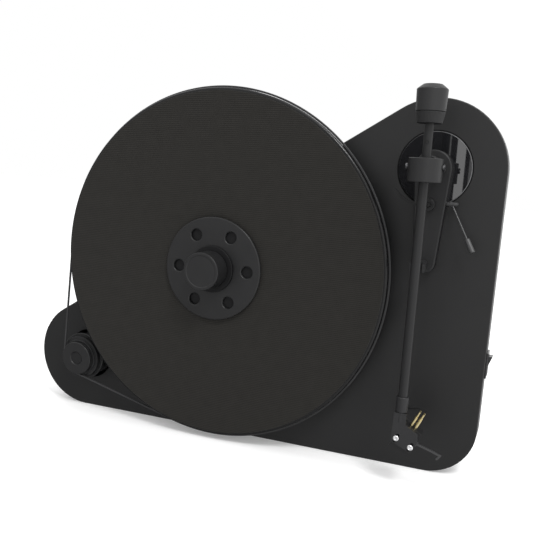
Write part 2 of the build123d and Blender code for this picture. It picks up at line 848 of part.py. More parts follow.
def board_post_places():
    inset = board_post_inset
    across = (inset, board_length - inset)
    up = (inset, board_height - inset)
    return [(board_x + dx, board_z + dz) for dx in across for dz in up]


def make_control_board():
    x0 = board_x
    z0 = board_z
    start = cover_inner_back + board_standoff
    board = block(x0, x0 + board_length, start, start + board_thickness, z0, z0 + board_height)
    for number in range(capacitor_count):
        x = x0 + 12 + number * capacitor_pitch
        board += disc(x, z0 + 33, start + 1, start + 1 + capacitor_height, capacitor_radius)
        board += block(x - 5, x + 5, start + 1, start + 4, z0 + 8, z0 + 18)
    return board


def make_switch_bezel():
    half_height = bezel_height / 2
    half_width = bezel_width / 2
    frame = bezel_frame
    body = block(right_edge, right_edge + bezel_proud, switch_depth - half_width, switch_depth + half_width,
                 switch_z - half_height, switch_z + half_height)
    body += block(right_edge - switch_body_depth + 1, right_edge + 0.5,
                  switch_depth - half_width + frame, switch_depth + half_width - frame,
                  switch_z - half_height + frame, switch_z + half_height - frame)
    wall = frame + 1.0
    body -= block(right_edge - 9, right_edge + bezel_proud + 1,
                  switch_depth - half_width + wall, switch_depth + half_width - wall,
                  switch_z - half_height + wall - 0.9, switch_z + half_height - wall + 0.9)
    return body


def make_switch_rocker():
    half = bezel_height / 2 - bezel_frame - 0.9
    width = bezel_width - 2 * (bezel_frame + 1.0) - 2 * moving_gap
    points = [(-4.5, -half + 1.6), (rocker_proud, -half), (rocker_valley, 0), (rocker_proud, half),
              (-4.5, half - 1.6)]
    outline = Rot(0, 0, -rocker_tilt) * make_face(Polyline(*points, close=True))
    outline = Pos(right_edge, switch_z) * outline
    return slab(outline, switch_depth - width / 2, switch_depth + width / 2)


# ---------------------------------------------------------------- tonearm base
def base_foot():
    return (pivot_x, pivot_z - base_plate_reach)


def base_screw_places():
    foot = base_foot()
    return [(foot[0] - base_screw_aside, foot[1] + rise) for rise in base_screw_rises]


def make_arm_base_disc():
    body = disc(pivot_x, pivot_z, -arm_disc_recess, arm_disc_proud, arm_disc_radius)
    rim = body.faces().sort_by(Axis.Y)[0]
    body = chamfer(rim.outer_wire().edges(), 0.4)
    return body - disc(pivot_x, pivot_z, -10, 5, pillar_stud_radius + seat_gap)


def make_arm_base_plate():
    outline = outline_of([((pivot_x, pivot_z), base_plate_head_radius), (base_foot(), base_plate_foot_radius)])
    body = slab(outline, arm_disc_proud, base_plate_front)
    body = fillet(body.faces().sort_by(Axis.Y)[0].edges(), 1.2)
    body -= disc(pivot_x, pivot_z, 0, base_plate_front + 1, pillar_stud_radius + seat_gap)
    body -= crossbar(pivot_x + lever_shaft_start - 1, pivot_x + lever_shaft_end, lever_depth, lever_z,
                     lever_bush_radius + seat_gap)
    for x, z in base_screw_places():
        body -= disc(x, z, -1, base_plate_front + 1, screw_radius + seat_gap)
        body -= disc(x, z, base_plate_front - screw_head_height, base_plate_front + 1,
                     screw_head_radius + seat_gap)
    return body


def make_arm_pillar():
    bore = swing_bearing_radius + seat_gap / 2
    body = disc(pivot_x, pivot_z, base_plate_front, pillar_front, pillar_radius)
    body = chamfer(body.faces().sort_by(Axis.Y)[0].edges(), 0.8)
    stud_back = plinth_back - pillar_nut_thickness - 2
    body += disc(pivot_x, pivot_z, stud_back, base_plate_front + 0.5, pillar_stud_radius)
    return body - disc(pivot_x, pivot_z, plinth_back - 20, pillar_front + 1, bore)


def make_pillar_nut():
    outline = Pos(pivot_x, pivot_z) * RegularPolygon(pillar_nut_size, 6)
    body = slab(outline, plinth_back - pillar_nut_thickness, plinth_back)
    return body - disc(pivot_x, pivot_z, plinth_back - 20, 0, pillar_stud_radius + seat_gap)


def make_swing_bearings():
    starts = [pillar_front - swing_bearing_width - 1, plinth_back]
    return group(ring(pivot_x, pivot_z, start, start + swing_bearing_width, swing_bearing_radius,
                      swing_shaft_radius + running_gap) for start in starts)


def make_armrest():
    """A post on the base plate's foot that ends in a two-pronged rest for the tube."""
    half = armrest_half
    outer = half + armrest_prong
    z0 = armrest_z - armrest_height / 2
    z1 = armrest_z + armrest_height / 2
    floor = armrest_front - armrest_prong_length
    body = block(pivot_x - outer, pivot_x + outer, floor - 2.5, armrest_front, z0, z1)
    body -= block(pivot_x - half, pivot_x + half, floor, armrest_front + 1, z0 - 1, z1 + 1)
    body += disc(pivot_x, armrest_z, base_plate_front, floor - 2, armrest_post_radius)
    return body


# ---------------------------------------------------------------- lift and cue lever
def make_lift_housing():
    body = disc(lift_x, lift_z, base_plate_front, lift_housing_front, lift_housing_radius)
    bore = lift_rod_radius + running_gap
    return body - disc(lift_x, lift_z, base_plate_front + 1, lift_housing_front + 1, bore)


def make_lift_bar():
    """A curved rest that follows the tube as the arm swings, on its sliding rod."""
    outer = lift_below_pivot + lift_bar_width / 2
    inner = lift_below_pivot - lift_bar_width / 2
    back = lift_front - lift_bar_depth
    band = ring(pivot_x, pivot_z, back, lift_front, outer, inner)
    angles = [lift_bar_start + lift_bar_sweep * share for share in (0, 0.5, 1)]
    far = outer * 2
    wedge = [(pivot_x, pivot_z)]
    wedge += [(pivot_x - far * sin(radians(angle)), pivot_z - far * cos(radians(angle))) for angle in angles]
    body = band & slab(make_face(Polyline(*wedge, close=True)), back, lift_front)
    rod = disc(lift_x, lift_z, base_plate_front + 2.2, lift_front - 0.5, lift_rod_radius)
    return body.solid() + rod


def make_lever_bush():
    """A plain bush pressed into the base plate's side, in which the lever's shaft turns."""
    start = pivot_x + lever_shaft_start
    end = pivot_x + lever_bush_end
    body = crossbar(start, end, lever_depth, lever_z, lever_bush_radius)
    return body - crossbar(start - 1, end + 1, lever_depth, lever_z, lever_shaft_radius + running_gap)


def make_lever_shaft():
    end = pivot_x + lever_shaft_end
    hub_start = pivot_x + lever_hub_start
    body = crossbar(pivot_x + lever_shaft_start, end, lever_depth, lever_z, lever_shaft_radius)
    body += crossbar(pivot_x + lever_knurl_start, end - 0.8, lever_depth, lever_z,
                     lever_shaft_radius + lever_knurl_rise)
    return body + crossbar(hub_start, hub_start + lever_hub_width, lever_depth, lever_z, lever_hub_radius)


def lever_points():
    """The lever rod's foot, its bend-free top end and the grip's far end."""
    side = sin(radians(lever_out_angle))
    down = cos(radians(lever_out_angle))
    rise = sin(radians(lever_forward_angle))
    flat = cos(radians(lever_forward_angle))
    foot = (pivot_x + lever_shaft_end - lever_rod_inset, lever_depth, lever_z - lever_shaft_radius / 2)
    reaches = [0, lever_rod_length, lever_rod_length + lever_grip_length]
    return [point(foot[0] + reach * side * flat, foot[1] + reach * rise, foot[2] - reach * down * flat)
            for reach in reaches]


def make_lever_rod():
    foot, end, _ = lever_points()
    body = rod_between(foot, end, lever_rod_radius)
    return body - make_lever_shaft()


def make_lever_grip():
    _, start, end = lever_points()
    return rod_between(start, end, lever_grip_radius)


# ---------------------------------------------------------------- moving arm
def make_arm_yoke():
    z0 = pivot_z - yoke_drop - yoke_height / 2
    z1 = z0 + yoke_height
    body = upright(pivot_x, tube_depth, z0, z1, yoke_radius)
    body = chamfer(body.edges().filter_by(GeomType.CIRCLE), 0.5)
    stem_front = tube_depth - yoke_inner_radius - 1
    stem = disc(pivot_x, pivot_z, pillar_front + moving_gap, stem_front, yoke_stem_radius)
    body = body + stem
    body -= upright(pivot_x, tube_depth, z0 - 1, z1 + 1, yoke_inner_radius)
    for side in (-1, 1):
        body -= crossbar(pivot_x + side * 5, pivot_x + side * 20, tube_depth, pivot_z,
                         pivot_screw_radius + seat_gap)
    return body - disc(pivot_x, pivot_z, pillar_front - 5, tube_depth - yoke_inner_radius - 2,
                       swing_shaft_radius + seat_gap)


def make_swing_shaft():
    return disc(pivot_x, pivot_z, plinth_back + 1, tube_depth - yoke_inner_radius - 2.2, swing_shaft_radius)


def make_pivot_screws():
    screws = []
    for side in (-1, 1):
        tip = pivot_x + side * (sleeve_radius + moving_gap)
        end = pivot_x + side * pivot_screw_reach
        shank = crossbar(tip, end, tube_depth, pivot_z, pivot_screw_radius)
        head = crossbar(pivot_x + side * (yoke_radius + 0.2), end, tube_depth, pivot_z, pivot_screw_head)
        slot = block(end - side * 0.5, end + side * 0.5, tube_depth - 3, tube_depth + 3,
                     pivot_z - screw_slot_half, pivot_z + screw_slot_half)
        screws.append(shank + head - slot)
    return group(screws)


def make_arm_sleeve():
    body = upright(pivot_x, tube_depth, pivot_z - sleeve_half, pivot_z + sleeve_half, sleeve_radius)
    body = chamfer(body.edges().filter_by(GeomType.CIRCLE), 0.6)
    return body - upright(pivot_x, tube_depth, pivot_z - 20, pivot_z + 20, tube_radius)


def make_arm_tube():
    body = upright(pivot_x, tube_depth, collar_top_z - 2, pivot_z - 0.1, tube_radius - 0.02)
    return body - upright(pivot_x, tube_depth, collar_top_z - 3, pivot_z + 1, tube_radius - tube_wall)


def make_rear_stub():
    body = upright(pivot_x, tube_depth, pivot_z + 0.1, pivot_z + sleeve_half + 0.5, tube_radius - 0.02)
    body += upright(pivot_x, tube_depth, pivot_z + sleeve_half, pivot_z + stub_length, stub_radius)
    surface = tube_depth + stub_radius
    return body - disc(pivot_x, pivot_z + stub_hole_rise, surface - 1, surface + 1, stub_hole_radius)


def make_collar():
    return turned_upright([(tube_radius, collar_top_z), (collar_radius - 0.5, collar_top_z),
                           (collar_radius, collar_top_z - 0.5), (collar_radius, collar_bottom_z + 0.5),
                           (collar_radius - 0.5, collar_bottom_z), (0, collar_bottom_z),
                           (0, collar_top_z - 2.2), (tube_radius, collar_top_z - 2.2)], pivot_x, tube_depth)


def make_headshell():
    half = collar_radius
    lip = on_cartridge(shell_lip - stylus_to_screws, -shell_half_width)
    tip = on_cartridge(shell_lip - stylus_to_screws, shell_half_width)
    side = on_cartridge(-stylus_to_screws - shell_side, shell_half_width)
    shoulder = on_cartridge(-stylus_to_screws - shell_shoulder, shell_half_width - 2.8)
    outline = [(pivot_x - half, collar_bottom_z), (lip[0], lip[1]), (tip[0], tip[1]), (side[0], side[1]),
               (shoulder[0], shoulder[1]), (pivot_x + half, collar_bottom_z - 9), (pivot_x + half, collar_bottom_z)]
    face = make_face(Polyline(*outline, close=True))
    face = fillet(face.vertices().sort_by(Axis.Y)[0:4], 1.5)
    body = slab(face, shell_back, shell_front)
    neck = upright(pivot_x, tube_depth, collar_bottom_z - 7, collar_bottom_z, collar_radius - 0.4)
    body += neck
    for side_sign in (-1, 1):
        across = side_sign * cartridge_screw_spacing / 2
        near = on_cartridge(-stylus_to_screws - shell_slot_length / 2, across)
        far = on_cartridge(-stylus_to_screws + shell_slot_length / 2, across)
        slot = outline_of([(near, shell_slot_radius), (far, shell_slot_radius)])
        body -= slab(slot, shell_back - 1, shell_front + 1)
    return body


def cartridge_screw_places():
    half = cartridge_screw_spacing / 2
    return [on_cartridge(-stylus_to_screws, -half), on_cartridge(-stylus_to_screws, half)]


def make_cartridge_screws():
    return group(screw(x, z, shell_back - 4, shell_front, cartridge_screw_radius, cartridge_screw_head)
                 for x, z in cartridge_screw_places())


def make_cartridge():
    half = cartridge_width / 2
    rear = stylus_overhang_front - cartridge_length
    notch = stylus_overhang_front - stylus_block_length - moving_gap
    split = cartridge_back + stylus_block_height
    body = cartridge_block(rear, stylus_overhang_front - 0.8, -half, half, cartridge_back, shell_back)
    body -= cartridge_block(notch, stylus_overhang_front + 5, -half - 1, half + 1, cartridge_back - 1, split)
    for x, z in cartridge_screw_places():
        body -= disc(x, z, shell_back - 4.5, shell_back + 1, cartridge_screw_radius + seat_gap)
    socket_depth_mid = cartridge_back + stylus_block_height / 2
    start = on_cartridge(notch + 1, 0)
    end = on_cartridge(notch - 4, 0)
    body -= rod_between(point(start[0], socket_depth_mid, start[1]), point(end[0], socket_depth_mid, end[1]),
                        1.4 + moving_gap)
    return body


def make_stylus_block():
    notch = stylus_overhang_front - stylus_block_length
    half = stylus_block_width / 2
    top = cartridge_back + stylus_block_height - moving_gap
    body = cartridge_block(notch, stylus_overhang_front, -half, half, cartridge_back, top)
    body -= cartridge_block(-4.5, stylus_overhang_front - 1.2, -1.5, 1.5, cartridge_back - 1, top - 1.0)
    middle = cartridge_back + stylus_block_height / 2
    start = on_cartridge(notch + 0.5, 0)
    end = on_cartridge(notch - 3.4, 0)
    tongue = rod_between(point(start[0], middle, start[1]), point(end[0], middle, end[1]), 1.4 - moving_gap)
    return body + tongue


def make_stylus():
    root = on_cartridge(-4.3, 0)
    tip = on_cartridge(0.3, 0)
    start = point(root[0], cartridge_back + 1.6, root[1])
    end = point(tip[0], stylus_tip + 0.9, tip[1])
    bar = rod_between(start, end, 0.35)
    foot = on_cartridge(0, 0)
    needle = disc(foot[0], foot[1], stylus_tip, stylus_tip + 1.2, 0.25)
    return bar + needle


def pin_places():
    """Each contact pin's place across the cartridge and its depth."""
    middle = (cartridge_back + shell_back) / 2
    return [(side * clip_spacing / 2, middle + level * 2.0) for side in (-1, 1) for level in (-1, 1)]


def along_rod(across, depth, near, far, radius):
    first = on_cartridge(near, across)
    last = on_cartridge(far, across)
    return rod_between(point(first[0], depth, first[1]), point(last[0], depth, last[1]), radius)


def make_lead_clips():
    """The cartridge's four pins, each with its lead's clip pushed on."""
    rear = stylus_overhang_front - cartridge_length
    clips = []
    for across, depth in pin_places():
        mouth = rear - pin_show
        neck = mouth - clip_mouth_length
        clip = along_rod(across, depth, rear, mouth - 1, pin_radius)
        clip += along_rod(across, depth, mouth, neck, clip_mouth_radius)
        clips.append(clip + along_rod(across, depth, neck + 0.5, mouth - clip_length, clip_tail_radius))
    return group(clips)


def make_lead_wires():
    """Four thin leads from the clips back to the collar's lower rim."""
    rear = stylus_overhang_front - cartridge_length - pin_show - clip_length
    wires = []
    for number, (across, depth) in enumerate(pin_places()):
        start = on_cartridge(rear, across)
        bend = on_cartridge(rear - 2.2 - number * lead_bend_step, across)
        drop = (3 - number) * lead_bend_step
        end_x = pivot_x + collar_radius * cos(atan2(drop, collar_radius)) + 0.1
        end_z = collar_bottom_z + 2 + number * lead_bend_step * 1.3
        points = [point(start[0], depth, start[1]), point(bend[0], depth, bend[1]),
                  point(end_x, tube_depth - drop, end_z)]
        path = FilletPolyline(*points, radius=1.0)
        section = Plane(origin=path @ 0, z_dir=path % 0) * Circle(lead_radius)
        wires.append(sweep(section, path=path))
    return group(wires)


def make_finger_lift():
    """A thin flat bar that runs out sideways from the shell and ends in a short bent tip."""
    root = on_cartridge(-stylus_to_screws - 3.8, 8.0)
    elbow = (root[0] + 12.6, root[1] - 3.8)
    end = (elbow[0] + 7.1, elbow[1] - 2.6)
    tip = (end[0] - 2.4, end[1] - 3.0)
    back = shell_back - 2 * finger_thickness
    body = cartridge_block(-stylus_to_screws - 5.8, -stylus_to_screws - 1.8, 8.25, 9.6, back, shell_back)
    for first, last in ((root, elbow), (elbow, end), (end, tip)):
        body += slab(outline_of([(first, finger_radius), (last, finger_radius)]), back, shell_back)
    return body & cartridge_block(-40, 20, 8.25, 40, back, shell_back)


# ---------------------------------------------------------------- counterweight
def make_counterweight():
    start = pivot_z + weight_start
    bore = stub_radius + running_gap
    end = weight_back_z
    bore_end = end - weight_end_wall
    profile = [(bore, start), (weight_low_radius - 0.3, start), (weight_low_radius, start + 0.3),
               (weight_radius, end - weight_round - 1), (weight_radius - 1.0, end - weight_round),
               (weight_radius - 3.4, end - 0.6), (weight_radius - 4.4, end), (0, end),
               (0, bore_end), (bore, bore_end)]
    return turned_upright(profile, pivot_x, tube_depth)


def make_weight_dial():
    start = pivot_z + dial_start
    end = start + dial_length
    bore = stub_radius + running_gap
    return turned_upright([(bore, start), (dial_small_radius - 0.6, start), (dial_small_radius, start + 0.6),
                           (dial_radius, end - 0.3), (dial_radius - 0.3, end), (bore, end)], pivot_x, tube_depth)


# ---------------------------------------------------------------- all pieces
pieces = {
    "plinth": make_plinth,
    "rear_cover": make_rear_cover,
    "hanger_plate": make_hanger_plate,
    "wall_bumpers": make_wall_bumpers,
    "bearing_housing": make_bearing_housing,
    "front_screws": make_front_screws,
    "rear_screws": make_rear_screws,
    "bearing_bush": make_bearing_bush,
    "thrust_ball": make_thrust_ball,
    "platter": make_platter,
    "platter_mat": make_platter_mat,
    "platter_hub": make_platter_hub,
    "hub_screws": make_hub_screws,
    "platter_axle": make_platter_axle,
    "clamp_disc": make_clamp_disc,
    "clamp_pad": make_clamp_pad,
    "clamp_knob": make_clamp_knob,
    "pulley": make_pulley,
    "motor_shaft": make_motor_shaft,
    "motor_can": make_motor_can,
    "motor_plate": make_motor_plate,
    "motor_grommets": make_motor_grommets,
    "drive_belt": make_drive_belt,
    "terminal_plate": make_terminal_plate,
    "rca_sockets": make_rca_sockets,
    "rca_inserts": make_rca_inserts,
    "ground_terminal": make_ground_terminal,
    "dc_socket": make_dc_socket,
    "control_board": make_control_board,
    "switch_bezel": make_switch_bezel,
    "switch_rocker": make_switch_rocker,
    "arm_base_disc": make_arm_base_disc,
    "arm_base_plate": make_arm_base_plate,
    "arm_pillar": make_arm_pillar,
    "pillar_nut": make_pillar_nut,
    "swing_bearings": make_swing_bearings,
    "armrest": make_armrest,
    "lift_housing": make_lift_housing,
    "lift_bar": make_lift_bar,
    "lever_bush": make_lever_bush,
    "lever_shaft": make_lever_shaft,
    "lever_rod": make_lever_rod,
    "lever_grip": make_lever_grip,
    "arm_yoke": make_arm_yoke,
    "swing_shaft": make_swing_shaft,
    "pivot_screws": make_pivot_screws,
    "arm_sleeve": make_arm_sleeve,
    "arm_tube": make_arm_tube,
    "rear_stub": make_rear_stub,
    "collar": make_collar,
    "headshell": make_headshell,
    "cartridge": make_cartridge,
    "cartridge_screws": make_cartridge_screws,
    "lead_clips": make_lead_clips,
    "lead_wires": make_lead_wires,
    "finger_lift": make_finger_lift,
    "stylus_block": make_stylus_block,
    "stylus": make_stylus,
    "counterweight": make_counterweight,
    "weight_dial": make_weight_dial,
}

os.makedirs("parts", exist_ok=True)
for name, make in pieces.items():
    export_step(make(), "parts/" + name + ".step")
print("pieces", len(pieces))
print("pivot to spindle", round(hypot(pivot_x, pivot_z), 1), "overhang",
      round(effective_length - hypot(pivot_x, pivot_z), 1))
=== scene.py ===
"""Looks of a wall-hung belt-drive turntable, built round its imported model.

Everything is in metres in the model's own frame: +X to the right, +Z up, and the front faces -Y.
Each sub-assembly is a class that builds its own pieces, gives them their finish and hangs them on
the body they move with.
"""
from __future__ import annotations

import logging
import math
from dataclasses import dataclass, field, replace
from enum import Enum
from typing import Callable, Sequence

import bmesh
import bpy
from mathutils import Matrix, Vector

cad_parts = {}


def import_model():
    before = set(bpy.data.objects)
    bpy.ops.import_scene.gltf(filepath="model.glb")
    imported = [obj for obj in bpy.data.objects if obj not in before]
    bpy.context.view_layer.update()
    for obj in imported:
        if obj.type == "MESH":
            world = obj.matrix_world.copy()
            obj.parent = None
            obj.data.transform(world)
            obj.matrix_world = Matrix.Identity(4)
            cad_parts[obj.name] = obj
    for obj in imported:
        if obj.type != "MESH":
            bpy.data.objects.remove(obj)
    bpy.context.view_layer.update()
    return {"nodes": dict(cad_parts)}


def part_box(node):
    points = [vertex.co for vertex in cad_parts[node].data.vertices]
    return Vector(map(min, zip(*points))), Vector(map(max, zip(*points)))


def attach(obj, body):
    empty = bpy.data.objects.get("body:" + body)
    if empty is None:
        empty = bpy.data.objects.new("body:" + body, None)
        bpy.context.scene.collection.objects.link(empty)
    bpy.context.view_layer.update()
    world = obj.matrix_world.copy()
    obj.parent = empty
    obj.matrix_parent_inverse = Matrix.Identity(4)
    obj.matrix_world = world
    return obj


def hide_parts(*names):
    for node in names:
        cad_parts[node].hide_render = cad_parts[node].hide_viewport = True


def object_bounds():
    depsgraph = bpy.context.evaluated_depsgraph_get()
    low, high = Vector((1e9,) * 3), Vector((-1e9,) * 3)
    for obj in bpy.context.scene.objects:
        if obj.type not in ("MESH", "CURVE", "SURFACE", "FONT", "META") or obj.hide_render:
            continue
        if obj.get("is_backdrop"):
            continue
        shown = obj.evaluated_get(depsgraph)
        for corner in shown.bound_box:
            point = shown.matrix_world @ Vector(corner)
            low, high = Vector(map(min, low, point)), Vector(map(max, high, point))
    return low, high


log = logging.getLogger("turntable")

MM = 0.001
Colour = tuple[float, float, float]
Point2 = tuple[float, float]
Point3 = tuple[float, float, float]
# A corner of a turned profile: radius, height and how large its rounding is.
Stop = tuple[float, float, float]
# A function that gives a new radius from a radius and an angle.
Wobble = Callable[[float, float], float]

FORWARD = Vector((0, -1, 0))
UPWARD = Vector((0, 0, 1))

# Values from 0 to 1 that a ramp runs over: all of them, or the ones that most of a noise has.
WHOLE: Point2 = (0.0, 1.0)
MIDDLE: Point2 = (0.3, 0.7)


class Body(Enum):
    """The bodies that pieces ride on."""

    DECK = "deck"
    PLATTER = "platter_unit"
    CLAMP = "clamp_unit"
    PULLEY = "pulley_unit"
    SWITCH = "switch_unit"
    YOKE = "yoke_unit"
    ARM = "arm_unit"
    STYLUS = "stylus_unit"
    WEIGHT = "weight_unit"
    LEVER = "lever_unit"
    LIFT = "lift_unit"


class Along(Enum):
    """The axis that a turned piece is turned about."""

    DEPTH = "depth"
    UP = "up"


# ------------------------------------------------------------------ material trees
class Sheet:
    """One material's node tree, with short names for the nodes that the finishes share."""

    def __init__(self, name: str) -> None:
        """Start a material with an empty tree and a Principled shader.

        Args:
            name: the material's name.
        """
        self.material = bpy.data.materials.new(name)
        self.material.use_nodes = True
        self.tree = self.material.node_tree
        self.tree.nodes.clear()
        self.shader = self.tree.nodes.new("ShaderNodeBsdfPrincipled")
        out = self.tree.nodes.new("ShaderNodeOutputMaterial")
        self.tree.links.new(self.shader.outputs["BSDF"], out.inputs["Surface"])
        self.place = self.tree.nodes.new("ShaderNodeTexCoord").outputs["Object"]

    def node(self, kind: str, **settings: object) -> bpy.types.Node:
        """Add a node.

        Args:
            kind: the node type after ShaderNode.
            settings: attributes to set on it.

        Returns:
            The new node.
        """
        made = self.tree.nodes.new("ShaderNode" + kind)
        for key, value in settings.items():
            setattr(made, key, value)
        return made

    def link(self, source: bpy.types.NodeSocket, target: bpy.types.NodeSocket) -> None:
        """Join an output to an input."""
        self.tree.links.new(source, target)

    def feed(self, socket: str, source: bpy.types.NodeSocket) -> None:
        """Join an output to one of the shader's inputs."""
        self.link(source, self.shader.inputs[socket])

    def noise(self, size: float, detail: float = 3.0, stretch: Point3 | None = None,
              rough: float = 0.5) -> bpy.types.NodeSocket:
        """A noise whose blobs are about one size across.

        Args:
            size: blob size in metres.
            detail: octaves of finer noise.
            stretch: how much longer the blobs are along X, Y and Z.
            rough: how strong the finer octaves are.

        Returns:
            The noise's value socket.
        """
        made = self.node("TexNoise", noise_dimensions="3D")
        made.inputs["Scale"].default_value = 1.0 / size
        made.inputs["Detail"].default_value = detail
        made.inputs["Roughness"].default_value = rough
        source = self.place
        if stretch is not None:
            mapping = self.node("Mapping")
            mapping.inputs["Scale"].default_value = [1 / part for part in stretch]
            self.link(self.place, mapping.inputs["Vector"])
            source = mapping.outputs["Vector"]
        self.link(source, made.inputs["Vector"])
        return made.outputs["Fac"]

    def ramp(self, value: bpy.types.NodeSocket, low: float, high: float,
             at: Point2 = MIDDLE) -> bpy.types.NodeSocket:
        """Turn a value from 0 to 1 into one from low to high.

        Args:
            value: the socket to read.
            low: result where the value is at[0] or less.
            high: result where the value is at[1] or more.
            at: where the ramp starts and ends.

        Returns:
            The result socket.
        """
        made = self.node("MapRange", clamp=True)
        made.inputs["From Min"].default_value = at[0]
        made.inputs["From Max"].default_value = at[1]
        made.inputs["To Min"].default_value = low
        made.inputs["To Max"].default_value = high
        self.link(value, made.inputs["Value"])
        return made.outputs["Result"]

    def tint(self, value: bpy.types.NodeSocket, dark: Colour, light: Colour,
             at: Point2 = MIDDLE) -> bpy.types.NodeSocket:
        """Colour a value between two colours.

        Args:
            value: the socket to read.
            dark: colour at the ramp's start.
            light: colour at its end.
            at: where the ramp starts and ends.

        Returns:
            The colour socket.
        """
        made = self.node("ValToRGB")
        made.color_ramp.elements[0].position = at[0]
        made.color_ramp.elements[0].color = (*dark, 1.0)
        made.color_ramp.elements[1].position = at[1]
        made.color_ramp.elements[1].color = (*light, 1.0)
        self.link(value, made.inputs["Fac"])
        return made.outputs["Color"]

    def maths(self, operation: str, first: bpy.types.NodeSocket,
              second: bpy.types.NodeSocket | float) -> bpy.types.NodeSocket:
        """A maths node on two values.

        Args:
            operation: Blender's name for the sum.
            first: the first value.
            second: the second value, a socket or a number.

        Returns:
            The result socket.
        """
        made = self.node("Math", operation=operation)
        self.link(first, made.inputs[0])
        if isinstance(second, (int, float)):
            made.inputs[1].default_value = second
        else:
            self.link(second, made.inputs[1])
        return made.outputs["Value"]

    def blend(self, first: bpy.types.NodeSocket, second: bpy.types.NodeSocket,
              share: float) -> bpy.types.NodeSocket:
        """Two noises in one value from 0 to 1.

        Args:
            first: the first noise.
            second: the second noise.
            share: how much of the result is the first noise's.

        Returns:
            The result socket.
        """
        return self.maths("ADD", self.ramp(first, 0.0, share), self.ramp(second, 0.0, 1.0 - share))

    def radius(self, centre: Point3, along: Along) -> bpy.types.NodeSocket:
        """The distance from a turning axis.

        Args:
            centre: a point on the axis.
            along: the axis.

        Returns:
            The distance socket, in metres.
        """
        keep = {Along.DEPTH: (1, 0, 1), Along.UP: (1, 1, 0)}[along]
        shift = self.node("VectorMath", operation="SUBTRACT")
        shift.inputs[1].default_value = centre
        self.link(self.place, shift.inputs[0])
        flat = self.node("VectorMath", operation="MULTIPLY")
        flat.inputs[1].default_value = keep
        self.link(shift.outputs["Vector"], flat.inputs[0])
        length = self.node("VectorMath", operation="LENGTH")
        self.link(flat.outputs["Vector"], length.inputs[0])
        return length.outputs["Value"]

    def bumps(self, *layers: tuple[bpy.types.NodeSocket, float]) -> None:
        """Add bump layers to the shader.

        Args:
            layers: pairs of a height socket and the height in metres that 1 stands for.
        """
        normal = None
        for height, rise in layers:
            made = self.node("Bump")
            made.inputs["Distance"].default_value = rise
            self.link(height, made.inputs["Height"])
            if normal is not None:
                self.link(normal, made.inputs["Normal"])
            normal = made.outputs["Normal"]
        self.feed("Normal", normal)

    def set(self, **values: float | tuple[float, float, float, float]) -> None:
        """Set constant sockets of the shader, with spaces in their names given as _."""
        for key, value in values.items():
            self.shader.inputs[key.replace("_", " ")].default_value = value


def shade(colour: Colour, factor: float) -> Colour:
    """The colour, lighter or darker by a factor."""
    return tuple(min(1.0, part * factor) for part in colour)


# ------------------------------------------------------------------ finishes
@dataclass(frozen=True)
class Finish:
    """What every finish has. The kinds of finish below say how the surface varies."""

    slot: str
    colour: Colour
    roughness: float
    metallic: float = 0.0
    specular: float = 0.5
    variant: str = ""
    contrast: Point2 = (1.0, 1.0)
    spread: Point2 = (0.0, 0.0)

    def material(self) -> bpy.types.Material:
        """Build the material, or give the one already built.

        Returns:
            The material.
        """
        name = "finish_" + self.slot + self.variant
        found = bpy.data.materials.get(name)
        if found is not None:
            return found
        sheet = Sheet(name)
        sheet.set(Metallic=self.metallic, Specular_IOR_Level=self.specular)
        self.paint(sheet)
        return sheet.material

    def paint(self, sheet: Sheet) -> None:
        """Add this kind of finish's nodes to a tree."""
        raise NotImplementedError

    def vary_colour(self, sheet: Sheet, value: bpy.types.NodeSocket, at: Point2 = WHOLE) -> None:
        """Let the colour go from the finish's darkest shade to its lightest.

        Args:
            sheet: the tree.
            value: the socket that says how light.
            at: the values where the darkest and the lightest shade are reached.
        """
        dark, light = (shade(self.colour, factor) for factor in self.contrast)
        sheet.feed("Base Color", sheet.tint(value, dark, light, at))

    def vary_roughness(self, sheet: Sheet, value: bpy.types.NodeSocket, at: Point2 = WHOLE) -> None:
        """Let the roughness wander over the finish's spread.

        Args:
            sheet: the tree.
            value: the socket that says how rough.
            at: the values where the two ends of the spread are reached.
        """
        low, high = (self.roughness + part for part in self.spread)
        sheet.feed("Roughness", sheet.ramp(value, low, high, at))


@dataclass(frozen=True)
class Lacquer(Finish):
    """Sprayed paint: a soft orange peel, fine dust specks and slow drifts of sheen."""

    contrast: Point2 = (0.86, 1.14)
    peel: float = 1.1 * MM
    peel_rise: float = 0.004 * MM
    grain: float = 0.25 * MM
    grain_rise: float = 0.0015 * MM
    drift: float = 55 * MM
    drift_share: float = 0.55
    drift_haze: Point2 = (-0.02, 0.03)
    speck_haze: Point2 = (-0.03, 0.04)

    def paint(self, sheet: Sheet) -> None:
        """Add the paint's nodes to a tree.

        Args:
            sheet: the tree.
        """
        drift = sheet.noise(self.drift)
        speck = sheet.noise(2 * self.grain, detail=2.0)
        self.vary_colour(sheet, sheet.blend(drift, speck, self.drift_share))
        haze = sheet.maths("ADD", sheet.ramp(drift, *self.drift_haze), sheet.ramp(speck, *self.speck_haze))
        sheet.feed("Roughness", sheet.maths("ADD", haze, self.roughness))
        sheet.bumps((sheet.noise(self.peel, detail=2.0), self.peel_rise),
                    (sheet.noise(self.grain, detail=2.0), self.grain_rise))


